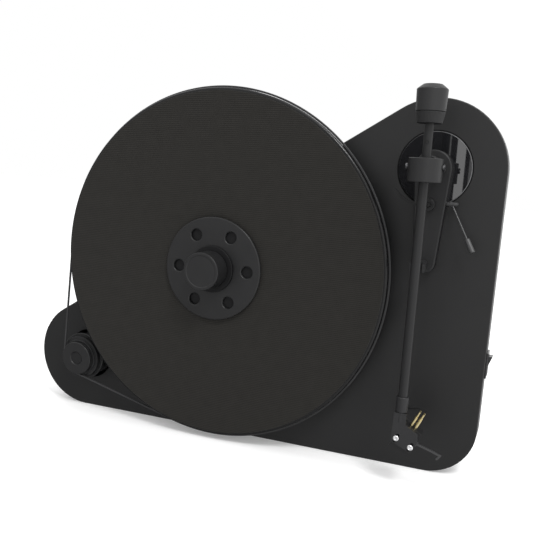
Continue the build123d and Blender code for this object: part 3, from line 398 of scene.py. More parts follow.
@dataclass(frozen=True)
class PowderCoat(Finish):
    """Baked powder: a coarse pebbled skin."""

    contrast: Point2 = (0.75, 1.3)
    spread: Point2 = (-0.06, 0.08)
    pebble: float = 0.7 * MM
    pebble_rise: float = 0.06 * MM
    pebble_share: float = 0.6
    pebble_edge: Point2 = (0.0, 0.8)
    drift: float = 40 * MM
    grain: float = 0.15 * MM
    grain_rise: float = 0.01 * MM

    def paint(self, sheet: Sheet) -> None:
        """Add the powder coat's nodes to a tree.

        Args:
            sheet: the tree.
        """
        cells = sheet.node("TexVoronoi", feature="SMOOTH_F1")
        cells.inputs["Scale"].default_value = 1.0 / self.pebble
        sheet.link(sheet.place, cells.inputs["Vector"])
        hollow = cells.outputs["Distance"]
        pebbles = sheet.ramp(hollow, self.pebble_share, 0.0, self.pebble_edge)
        drift = sheet.ramp(sheet.noise(self.drift), 0.0, 1.0 - self.pebble_share)
        self.vary_colour(sheet, sheet.maths("ADD", pebbles, drift))
        self.vary_roughness(sheet, hollow, self.pebble_edge)
        sheet.bumps((sheet.ramp(hollow, 1.0, 0.0, self.pebble_edge), self.pebble_rise),
                    (sheet.noise(self.grain, detail=2.0), self.grain_rise))


@dataclass(frozen=True)
class Felt(Finish):
    """Pressed wool felt with a fine woven backing showing through."""

    contrast: Point2 = (0.45, 1.55)
    spread: Point2 = (-0.05, 0.05)
    weave: float = 1.6 * MM
    weave_rise: float = 0.03 * MM
    weave_share: float = 0.20
    line_share: float = 0.46
    fibre: float = 0.35 * MM
    fibre_rise: float = 0.12 * MM
    fibre_stretch: Point3 = (1.6, 1.0, 0.7)
    fibre_share: float = 0.24
    clump: float = 9 * MM
    clump_share: float = 0.10
    wander: float = 0.35 * MM
    wander_size: float = 6 * MM
    fuzz: float = 0.12
    fuzz_roughness: float = 0.45

    def threads(self, sheet: Sheet) -> tuple[bpy.types.NodeSocket, bpy.types.NodeSocket]:
        """The waves of the warp and the weft, each wandering a little from its line.

        Args:
            sheet: the tree.

        Returns:
            The sockets of the two waves, from -1 to 1.
        """
        noise = sheet.node("TexNoise")
        noise.inputs["Scale"].default_value = 1.0 / self.wander_size
        push = sheet.node("VectorMath", operation="SCALE")
        push.inputs["Scale"].default_value = self.wander
        moved = sheet.node("VectorMath", operation="ADD")
        split = sheet.node("SeparateXYZ")
        sheet.link(sheet.place, noise.inputs["Vector"])
        sheet.link(noise.outputs["Color"], push.inputs[0])
        sheet.link(sheet.place, moved.inputs[0])
        sheet.link(push.outputs["Vector"], moved.inputs[1])
        sheet.link(moved.outputs["Vector"], split.inputs["Vector"])
        turn = 2 * math.pi / self.weave
        warp, weft = (sheet.maths("SINE", sheet.maths("MULTIPLY", split.outputs[axis], turn), 0.0)
                      for axis in ("X", "Z"))
        return warp, weft

    def paint(self, sheet: Sheet) -> None:
        """Add the felt's nodes to a tree.

        Args:
            sheet: the tree.
        """
        warp, weft = self.threads(sheet)
        weave = sheet.ramp(sheet.maths("MULTIPLY", warp, weft), 0.0, 1.0, (-1.0, 1.0))
        lines = sheet.ramp(weft, 0.0, self.line_share, (-1.0, 1.0))
        fibres = sheet.noise(self.fibre, detail=4.0, stretch=self.fibre_stretch, rough=0.7)
        mixed = sheet.maths("ADD", sheet.ramp(fibres, 0.0, self.fibre_share),
                            sheet.maths("MULTIPLY", weave, self.weave_share))
        mixed = sheet.maths("ADD", mixed, lines)
        mixed = sheet.maths("ADD", mixed, sheet.ramp(sheet.noise(self.clump), 0.0, self.clump_share))
        self.vary_colour(sheet, mixed)
        self.vary_roughness(sheet, fibres, MIDDLE)
        sheet.set(Sheen_Weight=self.fuzz, Sheen_Roughness=self.fuzz_roughness)
        sheet.bumps((weave, self.weave_rise), (fibres, self.fibre_rise))


@dataclass(frozen=True)
class Turned(Finish):
    """Lathe-turned metal, plain or anodised: fine rings about its axis."""

    contrast: Point2 = (0.88, 1.15)
    spread: Point2 = (-0.05, 0.06)
    centre: Point3 = (0.0, 0.0, 0.0)
    along: Along = Along.DEPTH
    pitch: float = 0.22 * MM
    ring_rise: float = 0.0012 * MM
    ring_share: float = 0.5
    smudge: float = 14 * MM
    grain: float = 0.3 * MM
    grain_rise: float = 0.001 * MM

    def paint(self, sheet: Sheet) -> None:
        """Add the turned surface's nodes to a tree.

        Args:
            sheet: the tree.
        """
        noise = sheet.node("TexNoise", noise_dimensions="1D")
        noise.inputs["Scale"].default_value = 1.0
        noise.inputs["Detail"].default_value = 2.0
        turns = sheet.maths("MULTIPLY", sheet.radius(self.centre, self.along), 1.0 / self.pitch)
        sheet.link(turns, noise.inputs["W"])
        rings = noise.outputs["Fac"]
        both = sheet.blend(rings, sheet.noise(self.smudge, detail=4.0), self.ring_share)
        self.vary_colour(sheet, both)
        self.vary_roughness(sheet, both)
        sheet.bumps((rings, self.ring_rise), (sheet.noise(self.grain, detail=2.0), self.grain_rise))


@dataclass(frozen=True)
class Moulded(Finish):
    """Moulded plastic or rubber: an even spark-eroded grain and faint flow marks."""

    contrast: Point2 = (0.84, 1.18)
    spread: Point2 = (-0.06, 0.07)
    grain: float = 0.35 * MM
    grain_rise: float = 0.012 * MM
    grain_share: float = 0.5
    flow: float = 12 * MM
    flow_stretch: Point3 = (1.0, 1.0, 2.5)

    def paint(self, sheet: Sheet) -> None:
        """Add the moulded surface's nodes to a tree.

        Args:
            sheet: the tree.
        """
        grain = sheet.noise(self.grain, rough=0.6)
        both = sheet.blend(grain, sheet.noise(self.flow, stretch=self.flow_stretch), self.grain_share)
        self.vary_colour(sheet, both)
        self.vary_roughness(sheet, both)
        sheet.bumps((grain, self.grain_rise))


@dataclass(frozen=True)
class Polished(Finish):
    """Polished or plated metal and mirror-gloss lacquer: hairlines and faint finger haze."""

    contrast: Point2 = (0.9, 1.08)
    hairline: float = 0.12 * MM
    hairline_rise: float = 0.0004 * MM
    hairline_stretch: Point3 = (1.0, 1.0, 22.0)
    hairline_haze: float = 0.03
    smudge: float = 11 * MM
    haze: float = 0.05

    def paint(self, sheet: Sheet) -> None:
        """Add the polished surface's nodes to a tree.

        Args:
            sheet: the tree.
        """
        lines = sheet.noise(self.hairline, detail=2.0, stretch=self.hairline_stretch)
        smudge = sheet.noise(self.smudge, detail=4.0, rough=0.6)
        self.vary_colour(sheet, smudge, MIDDLE)
        haze = sheet.maths("ADD", sheet.ramp(smudge, 0.0, self.haze),
                           sheet.ramp(lines, 0.0, self.hairline_haze))
        sheet.feed("Roughness", sheet.maths("ADD", haze, self.roughness))
        sheet.bumps((lines, self.hairline_rise))


@dataclass(frozen=True)
class CircuitBoard(Finish):
    """Green solder mask with the copper runs showing as slightly raised lines."""

    contrast: Point2 = (1.0, 2.2)
    spread: Point2 = (0.0, -0.08)
    track: float = 2.2 * MM
    track_length: float = 13.2 * MM
    track_width: float = 0.308 * MM
    track_rise: float = 0.035 * MM
    track_edge: Point2 = (0.2, 0.8)

    def paint(self, sheet: Sheet) -> None:
        """Add the board's nodes to a tree.

        Args:
            sheet: the tree.
        """
        bricks = sheet.node("TexBrick")
        bricks.inputs["Scale"].default_value = 1.0
        bricks.inputs["Brick Width"].default_value = self.track_length
        bricks.inputs["Row Height"].default_value = self.track
        bricks.inputs["Mortar Size"].default_value = self.track_width
        turn = sheet.node("Mapping", vector_type="POINT")
        turn.inputs["Rotation"].default_value = (math.pi / 2, 0.0, 0.0)
        sheet.link(sheet.place, turn.inputs["Vector"])
        sheet.link(turn.outputs["Vector"], bricks.inputs["Vector"])
        runs = bricks.outputs["Fac"]
        self.vary_colour(sheet, runs, self.track_edge)
        self.vary_roughness(sheet, runs, MIDDLE)
        sheet.bumps((runs, self.track_rise))


# The colour that the powder coat and the plain plastic share.
BLACK: Colour = (0.0125, 0.0125, 0.0135)

SATIN_PLINTH = Lacquer("satin_plinth", (0.0100, 0.0100, 0.0103), 0.42, specular=0.35)
SATIN_PLATTER = Lacquer("satin_platter", (0.004, 0.004, 0.0043), 0.22, specular=0.4)
FELT_MAT = Felt("felt_mat", (0.0160, 0.0152, 0.0137), 0.92, specular=0.15, fuzz=0.06)
COVER_STEEL = PowderCoat("cover_steel", BLACK, 0.5, specular=0.45)
BLACK_METAL = Lacquer("black_metal", (0.0105, 0.0105, 0.011), 0.40, specular=0.33)
HANGER_STEEL = Lacquer("hanger_steel", (0.13, 0.13, 0.135), 0.42, metallic=0.85)
BLACK_SCREWS = Polished("black_screws", (0.035, 0.035, 0.037), 0.3, metallic=0.9)
RUBBER_BLACK = Moulded("rubber_black", (0.017, 0.017, 0.017), 0.72, specular=0.35, grain_rise=0.02 * MM)
BELT_RUBBER = Moulded("belt_rubber", (0.022, 0.022, 0.023), 0.55, specular=0.45, grain=0.2 * MM)
MOTOR_STEEL = Polished("motor_steel", (0.03, 0.03, 0.032), 0.4, metallic=0.8)
POLISHED_STEEL = Polished("polished_steel", (0.78, 0.78, 0.80), 0.14, metallic=1.0)
GOLD_PLATE = Polished("gold_plate", (0.78, 0.66, 0.36), 0.24, metallic=1.0)
BRONZE = Moulded("bronze", (0.42, 0.29, 0.14), 0.42, metallic=0.9, grain=0.2 * MM)
INSULATOR = Moulded("socket_insulator", (0.55, 0.55, 0.52), 0.5)
CIRCUIT = CircuitBoard("circuit_board", (0.012, 0.075, 0.03), 0.35)
PLASTIC = Moulded("matte_plastic_black", BLACK, 0.5, specular=0.42)
GLOSS_PLASTIC = Polished("gloss_plastic_black", (0.012, 0.012, 0.013), 0.18, specular=0.5)
GLOSS_DISC = Polished("gloss_black_disc", (0.008, 0.008, 0.009), 0.006, specular=0.62,
                      hairline_rise=0.00002 * MM, haze=0.01, hairline_haze=0.006)
TUBE_BLACK = Lacquer("arm_tube_black", (0.012, 0.012, 0.0125), 0.36, specular=0.28)
SHELL_BLACK = Lacquer("headshell_black", (0.015, 0.015, 0.016), 0.40, specular=0.38)
CARTRIDGE_PLASTIC = Moulded("cartridge_plastic", (0.011, 0.011, 0.0115), 0.45, specular=0.33)
LEAD_WIRE = Moulded("lead_wire", (0.006, 0.006, 0.0065), 0.6, specular=0.2)
WEIGHT_BLACK = Lacquer("weight_black", (0.015, 0.015, 0.0155), 0.42, specular=0.34)
ANODISED = Turned("anodised_black", (0.012, 0.012, 0.0125), 0.36, specular=0.34)
YOKE_BLACK = Turned("anodised_black", (0.013, 0.013, 0.0135), 0.4, specular=0.32)
BAR_PLASTIC = Moulded("matte_plastic_black", (0.008, 0.008, 0.0083), 0.55, specular=0.26, variant="_bar")
DIAL_PLASTIC = Moulded("matte_plastic_black", (0.013, 0.013, 0.0135), 0.5, specular=0.3, variant="_dial")
COLLAR_BLACK = Turned("anodised_black", (0.006, 0.006, 0.0065), 0.5, specular=0.2, variant="_collar")
SCREW_STEEL = Polished("polished_steel", (0.9, 0.9, 0.91), 0.16, metallic=1.0, variant="_bright")
DARK_STEEL = Polished("polished_steel", (0.13, 0.13, 0.135), 0.3, metallic=1.0, variant="_dark")
RIM_STEEL = Polished("gloss_black_disc", (0.17, 0.17, 0.175), 0.25, metallic=1.0, variant="_rim")
CENTRE_BLACK = Turned("anodised_black", (0.010, 0.010, 0.0105), 0.45, specular=0.26, variant="_centre")
LEVER_BLACK = Lacquer("black_metal", (0.03, 0.03, 0.031), 0.32, specular=0.6, variant="_lever")
GRIP_RUBBER = Moulded("rubber_black", (0.036, 0.036, 0.037), 0.42, specular=0.6, variant="_grip")
ALUMINIUM = Turned("turned_aluminium", (0.72, 0.72, 0.74), 0.28, metallic=1.0)


# ------------------------------------------------------------------ shaping tools
# Corners nearer than this are one: in a new mesh, and in a copy of one of the model's.
MERGE_GAP = 0.0001 * MM
COPY_MERGE_GAP = 0.001 * MM
# A point of a profile that is nearer to its axis than this is on it.
ON_AXIS = 1e-6 * MM
# The largest share of a profile's side that one rounding takes.
SIDE_SHARE = 0.49
# Facets in a full turn, segments in a profile's rounded corner, and segments across a rounded edge.
FACETS = 96
ARC_STEPS = 5
EDGE_STEPS = 3
# Angles between faces, in degrees: faces flatter than this become one, and an edge steeper than
# these is rounded in a copy, or stays sharp in a turned piece, a copy or a plate.
FLAT_DEG = 0.6
ROUNDED_DEG = 35.0
SHARP_DEG = 32.0
COPY_SHARP_DEG = 40.0
PLATE_SHARP_DEG = 50.0


def rounded(stops: Sequence[Stop], steps: int = ARC_STEPS) -> list[Point2]:
    """Round the corners of a closed profile.

    Args:
        stops: (radius, height, rounding) corners in order.
        steps: segments in each rounded corner.

    Returns:
        The profile's points, with an arc at each corner that has a rounding. An arc takes less
        than half of either side next to it.
    """
    points: list[Point2] = []
    count = len(stops)
    for number, (x, y, size) in enumerate(stops):
        here = Vector((x, y))
        if size <= 0:
            points.append((x, y))
            continue
        before = Vector(stops[number - 1][:2]) - here
        after = Vector(stops[(number + 1) % count][:2]) - here
        half = before.angle(after) / 2
        reach = min(size / math.tan(half), before.length * SIDE_SHARE, after.length * SIDE_SHARE)
        radius = reach * math.tan(half)
        middle = here + (before.normalized() + after.normalized()).normalized() * (radius / math.sin(half))
        first = here + before.normalized() * reach - middle
        last = here + after.normalized() * reach - middle
        sweep = first.angle_signed(last)
        for step in range(steps + 1):
            turned = first.copy()
            turned.rotate(Matrix.Rotation(-sweep * step / steps, 2))
            points.append(tuple(middle + turned))
    return points


def add_object(name: str, data: bpy.types.ID) -> bpy.types.Object:
    """Make an object of some data and put it in the scene.

    Args:
        name: the object's name.
        data: its mesh, curve, light or camera.

    Returns:
        The object.
    """
    made = bpy.data.objects.new(name, data)
    bpy.context.scene.collection.objects.link(made)
    return made


def ring_profile(inner: float, outer: float, height: float, low: float = 0.0, high: float = 0.0,
                 inside: float = 0.0) -> list[Stop]:
    """The corners of a plain ring's profile.

    Args:
        inner: radius of its bore.
        outer: its outer radius.
        height: its height.
        low: rounding of the outer edge at the bottom.
        high: rounding of the outer edge at the top.
        inside: rounding of the bore's edge at the top.

    Returns:
        The profile's corners.
    """
    return [(inner, 0, 0), (outer, 0, low), (outer, height, high), (inner, height, inside)]


def new_piece(name: str, mesh: bpy.types.Mesh, sharp: float = SHARP_DEG) -> bpy.types.Object:
    """Make a piece of a mesh, smooth but for its sharp edges.

    Args:
        name: the piece's name.
        mesh: its mesh.
        sharp: the angle in degrees from which an edge stays sharp.

    Returns:
        The piece, in the scene.
    """
    mesh.shade_smooth()
    mesh.set_sharp_from_angle(angle=math.radians(sharp))
    piece = add_object(name, mesh)
    flatten = piece.modifiers.new("flat_faces", "WEIGHTED_NORMAL")
    flatten.keep_sharp = True
    return piece


def taken_mesh(name: str, blank: bpy.types.Object) -> bpy.types.Mesh:
    """Take the mesh that an object shows, and remove the object.

    Args:
        name: the mesh's name.
        blank: the object, a curve or a mesh with modifiers.

    Returns:
        The mesh.
    """
    bpy.context.view_layer.update()
    mesh = bpy.data.meshes.new_from_object(blank.evaluated_get(bpy.context.evaluated_depsgraph_get()))
    bpy.data.objects.remove(blank)
    mesh.name = name
    return mesh


def mesh_from(name: str, build: Callable[[bmesh.types.BMesh], None]) -> bpy.types.Mesh:
    """Make a mesh with a function that fills a bmesh.

    Args:
        name: the mesh's name.
        build: the function that fills it.

    Returns:
        The mesh, its doubles merged and its faces turned outwards.
    """
    shape = bmesh.new()
    build(shape)
    bmesh.ops.remove_doubles(shape, verts=shape.verts, dist=MERGE_GAP)
    bmesh.ops.recalc_face_normals(shape, faces=shape.faces)
    mesh = bpy.data.meshes.new(name)
    shape.to_mesh(mesh)
    shape.free()
    return mesh


def facing(direction: Vector) -> Matrix:
    """A turn that takes +Z to a direction."""
    return direction.to_track_quat("Z", "Y").to_matrix().to_4x4()


def join_rings(shape: bmesh.types.BMesh, rings: Sequence[Sequence[bmesh.types.BMVert]],
               on_axis: Sequence[bool] | None = None) -> None:
    """Join a closed row of rings with faces, the last ring to the first.

    Args:
        shape: the bmesh.
        rings: each ring's corners, as many in one as in the next.
        on_axis: which corners lie on the axis that the rings turn about. Two of them need no face.
    """
    count = len(rings[0])
    for number, here in enumerate(rings):
        there = rings[(number + 1) % len(rings)]
        for corner in range(count):
            after = (corner + 1) % count
            if on_axis and on_axis[corner] and on_axis[after]:
                continue
            shape.faces.new((here[corner], here[after], there[after], there[corner]))


def add_lathe(shape: bmesh.types.BMesh, profile: Sequence[Point2], origin: Vector, direction: Vector,
              segments: int = FACETS, wobble: Wobble | None = None) -> None:
    """Turn a closed profile about an axis and add it to a bmesh.

    Args:
        shape: the bmesh.
        profile: (radius, height) points of a closed loop.
        origin: where height 0 is on the axis.
        direction: which way height grows.
        segments: facets in a turn.
        wobble: gives the radius at an angle, for flutes.
    """
    turn = Matrix.Translation(origin) @ facing(direction)
    rings = []
    for step in range(segments):
        angle = 2 * math.pi * step / segments
        ring = []
        for radius, height in profile:
            size = wobble(radius, angle) if wobble else radius
            spot = Vector((size * math.cos(angle), size * math.sin(angle), height))
            ring.append(shape.verts.new(turn @ spot))
        rings.append(ring)
    join_rings(shape, rings, [radius < ON_AXIS for radius, _ in profile])


def lathe(name: str, stops: Sequence[Stop], origin: Vector, direction: Vector, segments: int = FACETS,
          wobble: Wobble | None = None) -> bpy.types.Object:
    """A turned piece with rounded corners.

    Args:
        name: the piece's name.
        stops: (radius, height, rounding) corners of its closed profile.
        origin: where height 0 is on the axis.
        direction: which way height grows.
        segments: facets in a turn.
        wobble: gives the radius at an angle, for flutes.

    Returns:
        The piece.
    """
    profile = rounded(stops)
    mesh = mesh_from(name, lambda shape: add_lathe(shape, profile, origin, direction, segments, wobble))
    return new_piece(name, mesh)


def softened(name: str, source: bpy.types.Object, width: float, limit: float) -> bpy.types.Object:
    """A copy of a model node with its sharp edges rounded.

    Args:
        name: the new piece's name.
        source: the node to copy.
        width: how wide the rounding is.
        limit: the angle in degrees from which an edge is rounded.

    Returns:
        The new piece.
    """
    shape = bmesh.new()
    shape.from_mesh(source.data)
    for layer in list(shape.loops.layers.float_vector.values()):
        shape.loops.layers.float_vector.remove(layer)
    bmesh.ops.remove_doubles(shape, verts=shape.verts, dist=COPY_MERGE_GAP)
    bmesh.ops.dissolve_limit(shape, angle_limit=math.radians(FLAT_DEG), verts=shape.verts, edges=shape.edges)
    mesh = bpy.data.meshes.new(name)
    shape.to_mesh(mesh)
    shape.free()
    for extra in [layer.name for layer in mesh.attributes if layer.name == "custom_normal"]:
        mesh.attributes.remove(mesh.attributes[extra])
    blank = add_object(name, mesh)
    bevel = blank.modifiers.new("rounding", "BEVEL")
    bevel.width = width
    bevel.segments = EDGE_STEPS
    bevel.limit_method = "ANGLE"
    bevel.angle_limit = math.radians(limit)
    bevel.use_clamp_overlap = True
    return new_piece(name, taken_mesh(name, blank), COPY_SHARP_DEG)


def box_corners(low: Point2, high: Point2) -> list[Point2]:
    """The corners of a rectangle, anticlockwise."""
    return [low, (high[0], low[1]), high, (low[0], high[1])]


def circle_points(centre: Point2, radius: float, count: int) -> list[Point2]:
    """Points round a circle, anticlockwise."""
    turns = (2 * math.pi * step / count for step in range(count))
    return [(centre[0] + radius * math.cos(turn), centre[1] + radius * math.sin(turn)) for turn in turns]


def hull_points(circles: Sequence[tuple[Point2, float]], count: int) -> list[Point2]:
    """The outline stretched round some circles.

    Args:
        circles: (centre, radius) of each, in X and Z.
        count: points round a full turn.

    Returns:
        The outline's points, anticlockwise.
    """
    points: list[Point2] = []
    for step in range(count):
        turn = 2 * math.pi * step / count
        look = Vector((math.cos(turn), math.sin(turn)))
        centre, radius = max(circles, key=lambda circle: Vector(circle[0]).dot(look) + circle[1])
        points.append((centre[0] + radius * look.x, centre[1] + radius * look.y))
    return points


def plate(name: str, outline: Sequence[Point2], holes: Sequence[Sequence[Point2]], back: float, front: float,
          rounding: float) -> bpy.types.Object:
    """A flat plate in X and Z with rounded edges, pierced by holes.

    Args:
        name: the piece's name.
        outline: its outline, anticlockwise.
        holes: the holes' outlines, anticlockwise.
        back: Y of its back face.
        front: Y of its front face, which is the smaller.
        rounding: radius of its edges.

    Returns:
        The piece.
    """
    curve = bpy.data.curves.new(name, "CURVE")
    curve.dimensions = "2D"
    curve.fill_mode = "BOTH"
    curve.extrude = (back - front) / 2 - rounding
    curve.bevel_depth = rounding
    curve.bevel_resolution = EDGE_STEPS
    curve.offset = -rounding
    for loop in (outline, *(hole[::-1] for hole in holes)):
        spline = curve.splines.new("POLY")
        spline.points.add(len(loop) - 1)
        for spot, (x, z) in zip(spline.points, loop):
            spot.co = (x, z, 0.0, 1.0)
        spline.use_cyclic_u = True
    mesh = taken_mesh(name, add_object(name, curve))
    mesh.transform(Matrix.Translation((0, (back + front) / 2, 0)) @ Matrix.Rotation(math.pi / 2, 4, "X"))
    shape = bmesh.new()
    shape.from_mesh(mesh)
    bmesh.ops.remove_doubles(shape, verts=shape.verts, dist=COPY_MERGE_GAP)
    bmesh.ops.recalc_face_normals(shape, faces=shape.faces)
    shape.to_mesh(mesh)
    shape.free()
    return new_piece(name, mesh, PLATE_SHARP_DEG)


# ------------------------------------------------------------------ what every sub-assembly shares
@dataclass
class SubAssembly:
    """A part of the turntable, with the model's nodes at hand."""

    nodes: dict[str, bpy.types.Object]
    made: list[str] = field(default_factory=list)

    def build(self) -> None:
        """Make the pieces that this sub-assembly draws itself."""

    def dress(self) -> None:
        """Give the model nodes that are shown as they are their finish."""

    def turned_about(self, finish: Turned, node: str, along: Along) -> Turned:
        """The turned finish with its rings about a node's middle."""
        low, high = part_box(node)
        return replace(finish, centre=tuple((low + high) / 2), along=along, variant="_" + node)

    def finish_nodes(self, finish: Finish, *names: str) -> None:
        """Give model nodes a finish.

        Args:
            finish: the finish.
            names: the nodes.
        """
        for name in names:
            materials = self.nodes[name].data.materials
            materials.clear()
            materials.append(finish.material())

    def settle(self, piece: bpy.types.Object, body: Body, finish: Finish,
               *stands_for: str) -> bpy.types.Object:
        """Give a new piece its finish and its body, and hide the model nodes that it stands for.

        Args:
            piece: the new piece.
            body: the body that it rides on.
            finish: its finish.
            stands_for: the model nodes that it replaces.

        Returns:
            The piece.
        """
        piece.data.materials.clear()
        piece.data.materials.append(finish.material())
        if stands_for:
            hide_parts(*stands_for)
        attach(piece, body.value)
        self.made.append(piece.name)
        log.info("%s: %s, %d faces", type(self).__name__, piece.name, len(piece.data.polygons))
        return piece

    def turn(self, name: str, stops: Sequence[Stop], foot: Vector, direction: Vector, body: Body,
             finish: Finish, *stands_for: str, segments: int = FACETS,
             wobble: Wobble | None = None) -> bpy.types.Object:
        """Turn a piece and settle it.

        Args:
            name: the piece's name.
            stops: (radius, height, rounding) corners of its closed profile.
            foot: where height 0 is on the axis.
            direction: which way height grows.
            body: the body that it rides on.
            finish: its finish.
            stands_for: the model nodes that it replaces.
            segments: facets in a turn.
            wobble: gives the radius at an angle, for flutes.

        Returns:
            The piece.
        """
        return self.settle(lathe(name, stops, foot, direction, segments, wobble), body, finish, *stands_for)

    def soften(self, node: str, width: float, body: Body, finish: Finish,
               limit: float = ROUNDED_DEG) -> bpy.types.Object:
        """Replace a node with a copy whose sharp edges are rounded.

        Args:
            node: the model node.
            width: how wide the rounding is.
            body: the body that it rides on.
            finish: its finish.
            limit: the angle in degrees from which an edge is rounded.

        Returns:
            The new piece.
        """
        piece = softened("soft_" + node, self.nodes[node], width, limit)
        return self.settle(piece, body, finish, node)


@dataclass(frozen=True)
class Round:
    """Where a turned node about the depth axis lies."""

    x: float
    z: float
    radius: float
    back: float
    front: float

    @classmethod
    def of(cls, node: str) -> Round:
        """Read a node's place from its box."""
        low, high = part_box(node)
        return cls((low.x + high.x) / 2, (low.z + high.z) / 2, (high.x - low.x) / 2, high.y, low.y)

    def origin(self) -> Vector:
        """The middle of the node's back face."""
        return Vector((self.x, self.back, self.z))

    def length(self) -> float:
        """How far the node reaches from back to front."""
        return self.back - self.front


# ------------------------------------------------------------------ sub-assemblies
@dataclass
class Cabinet(SubAssembly):
    """The plinth with the rear cover, the wall hanger and the terminals."""

    hanger_rounding: float = 0.25 * MM
    terminal_rounding: float = 0.2 * MM
    bumper_rounding: float = 1.0 * MM

    def build(self) -> None:
        """Make the rounded copies of the rear pieces."""
        self.soften("hanger_plate", self.hanger_rounding, Body.DECK, HANGER_STEEL)
        self.soften("terminal_plate", self.terminal_rounding, Body.DECK, BLACK_METAL)
        self.soften("wall_bumpers", self.bumper_rounding, Body.DECK, RUBBER_BLACK)

    def dress(self) -> None:
        """Finish the nodes that are shown as they are."""
        self.finish_nodes(SATIN_PLINTH, "plinth")
        self.finish_nodes(COVER_STEEL, "rear_cover")
        self.finish_nodes(BLACK_SCREWS, "rear_screws", "front_screws")
        self.finish_nodes(GOLD_PLATE, "rca_sockets", "ground_terminal")
        self.finish_nodes(INSULATOR, "rca_inserts")
        self.finish_nodes(PLASTIC, "dc_socket")
        self.finish_nodes(CIRCUIT, "control_board")


@dataclass
class PlatterSet(SubAssembly):
    """The platter with its felt mat, on its hub, axle and bearing."""

    bore: float = 10.1 * MM
    rim_rounding: float = 1.3 * MM
    mat_bore: float = 4.05 * MM
    mat_rounding: float = 0.6 * MM
    facets: int = 256

    def build(self) -> None:
        """Turn the platter and lay the mat on it."""
        rim = Round.of("platter")
        self.turn("platter_body",
                  ring_profile(self.bore, rim.radius, rim.length(), self.rim_rounding, self.rim_rounding),
                  rim.origin(), FORWARD, Body.PLATTER, SATIN_PLATTER, "platter", segments=self.facets)
        mat = Round.of("platter_mat")
        felt = self.turn("felt_mat",
                         ring_profile(self.mat_bore, mat.radius, mat.length(), 0.0, self.mat_rounding,
                                      self.mat_rounding),
                         mat.origin(), FORWARD, Body.PLATTER, FELT_MAT, "platter_mat", segments=self.facets)

    def dress(self) -> None:
        """Finish the bearing's nodes."""
        self.finish_nodes(ALUMINIUM, "platter_hub", "bearing_housing")
        self.finish_nodes(POLISHED_STEEL, "platter_axle", "thrust_ball")
        self.finish_nodes(BLACK_SCREWS, "hub_screws")
        self.finish_nodes(BRONZE, "bearing_bush")


@dataclass
class RecordClamp(SubAssembly):
    """The screw-down clamp: a pierced disc, its pad and a turned knob."""

    facets: int = 160
    disc_facets: int = 180
    disc_rounding: float = 1.0 * MM
    hole_radius: float = 5.0 * MM
    hole_ring: float = 32.0 * MM
    hole_count: int = 6
    hole_facets: int = 48
    # The dark ring behind the disc's holes: painted shade, which makes the holes look shadowed.
    hole_shade_inside: float = 26.0 * MM
    hole_shade_outside: float = 38.5 * MM
    hole_shade_thickness: float = 0.4 * MM
    bore: float = 3.6 * MM
    bore_depth: float = 16.0 * MM
    bore_play: float = 0.4 * MM
    collar_radius: float = 20.0 * MM
    collar_height: float = 2.6 * MM
    collar_rounding: float = 0.5 * MM
    neck_radius: float = 15.0 * MM
    neck_height: float = 1.2 * MM
    neck_rounding: float = 0.2 * MM
    knob_radius: float = 15.9 * MM
    knob_low_rounding: float = 0.4 * MM
    knob_top_rounding: float = 0.7 * MM
    dish_radius: float = 13.6 * MM
    dish_depth: float = 0.35 * MM
    dish_slope: float = 0.6 * MM
    dish_edge_rounding: float = 0.3 * MM
    dish_floor_rounding: float = 0.5 * MM

    def build(self) -> None:
        """Make the disc with the dark ring behind its holes, which is painted shade, and the knob with its
        collar.
        """
        self.make_disc(Round.of("clamp_disc"))
        self.make_knob(Round.of("clamp_knob"))

    def make_disc(self, place: Round) -> None:
        """Cut the pierced disc, and put a dark ring behind its holes as painted shade.

        Args:
            place: where the disc is.
        """
        turns = [2 * math.pi * number / self.hole_count for number in range(self.hole_count)]
        middles = [(self.hole_ring * math.cos(turn), self.hole_ring * math.sin(turn)) for turn in turns]
        holes = [circle_points(middle, self.hole_radius, self.hole_facets) for middle in middles]
        holes.append(circle_points((0, 0), self.bore + self.bore_play, self.hole_facets))
        disc = plate("clamp_disc_body", circle_points((0, 0), place.radius, self.disc_facets), holes,
                     place.back, place.front, self.disc_rounding)
        self.settle(disc, Body.CLAMP, ANODISED, "clamp_disc")
        # Painted shade: a dark ring behind the holes, so that they look deep and shadowed.
        self.turn("clamp_hole_shade_ring",
                  ring_profile(self.hole_shade_inside, self.hole_shade_outside, self.hole_shade_thickness),
                  Vector((0, place.back + self.hole_shade_thickness, 0)), FORWARD, Body.CLAMP, COLLAR_BLACK,
                  segments=self.facets)

    def make_knob(self, knob: Round) -> None:
        """Turn the knob and the collar round its neck.

        Args:
            knob: where the knob is.
        """
        top = knob.length()
        neck_top = self.collar_height + self.neck_height
        floor = top - self.dish_depth
        self.turn("clamp_collar_ring",
                  ring_profile(self.neck_radius, self.collar_radius, self.collar_height, 0.0,
                               self.collar_rounding),
                  knob.origin(), FORWARD, Body.CLAMP, COLLAR_BLACK, segments=self.facets)
        self.turn("clamp_knob_body", [
            (self.bore, 0, 0), (self.neck_radius, 0, 0), (self.neck_radius, neck_top, self.neck_rounding),
            (self.knob_radius, neck_top, self.knob_low_rounding),
            (self.knob_radius, top, self.knob_top_rounding),
            (self.dish_radius, top, self.dish_edge_rounding),
            (self.dish_radius - self.dish_slope, floor, self.dish_floor_rounding), (0, floor, 0),
            (0, self.bore_depth, 0), (self.bore, self.bore_depth, 0)],
            knob.origin(), FORWARD, Body.CLAMP, ANODISED, "clamp_knob", segments=self.facets)

    def dress(self) -> None:
        """Finish the pad."""
        self.finish_nodes(RUBBER_BLACK, "clamp_pad")


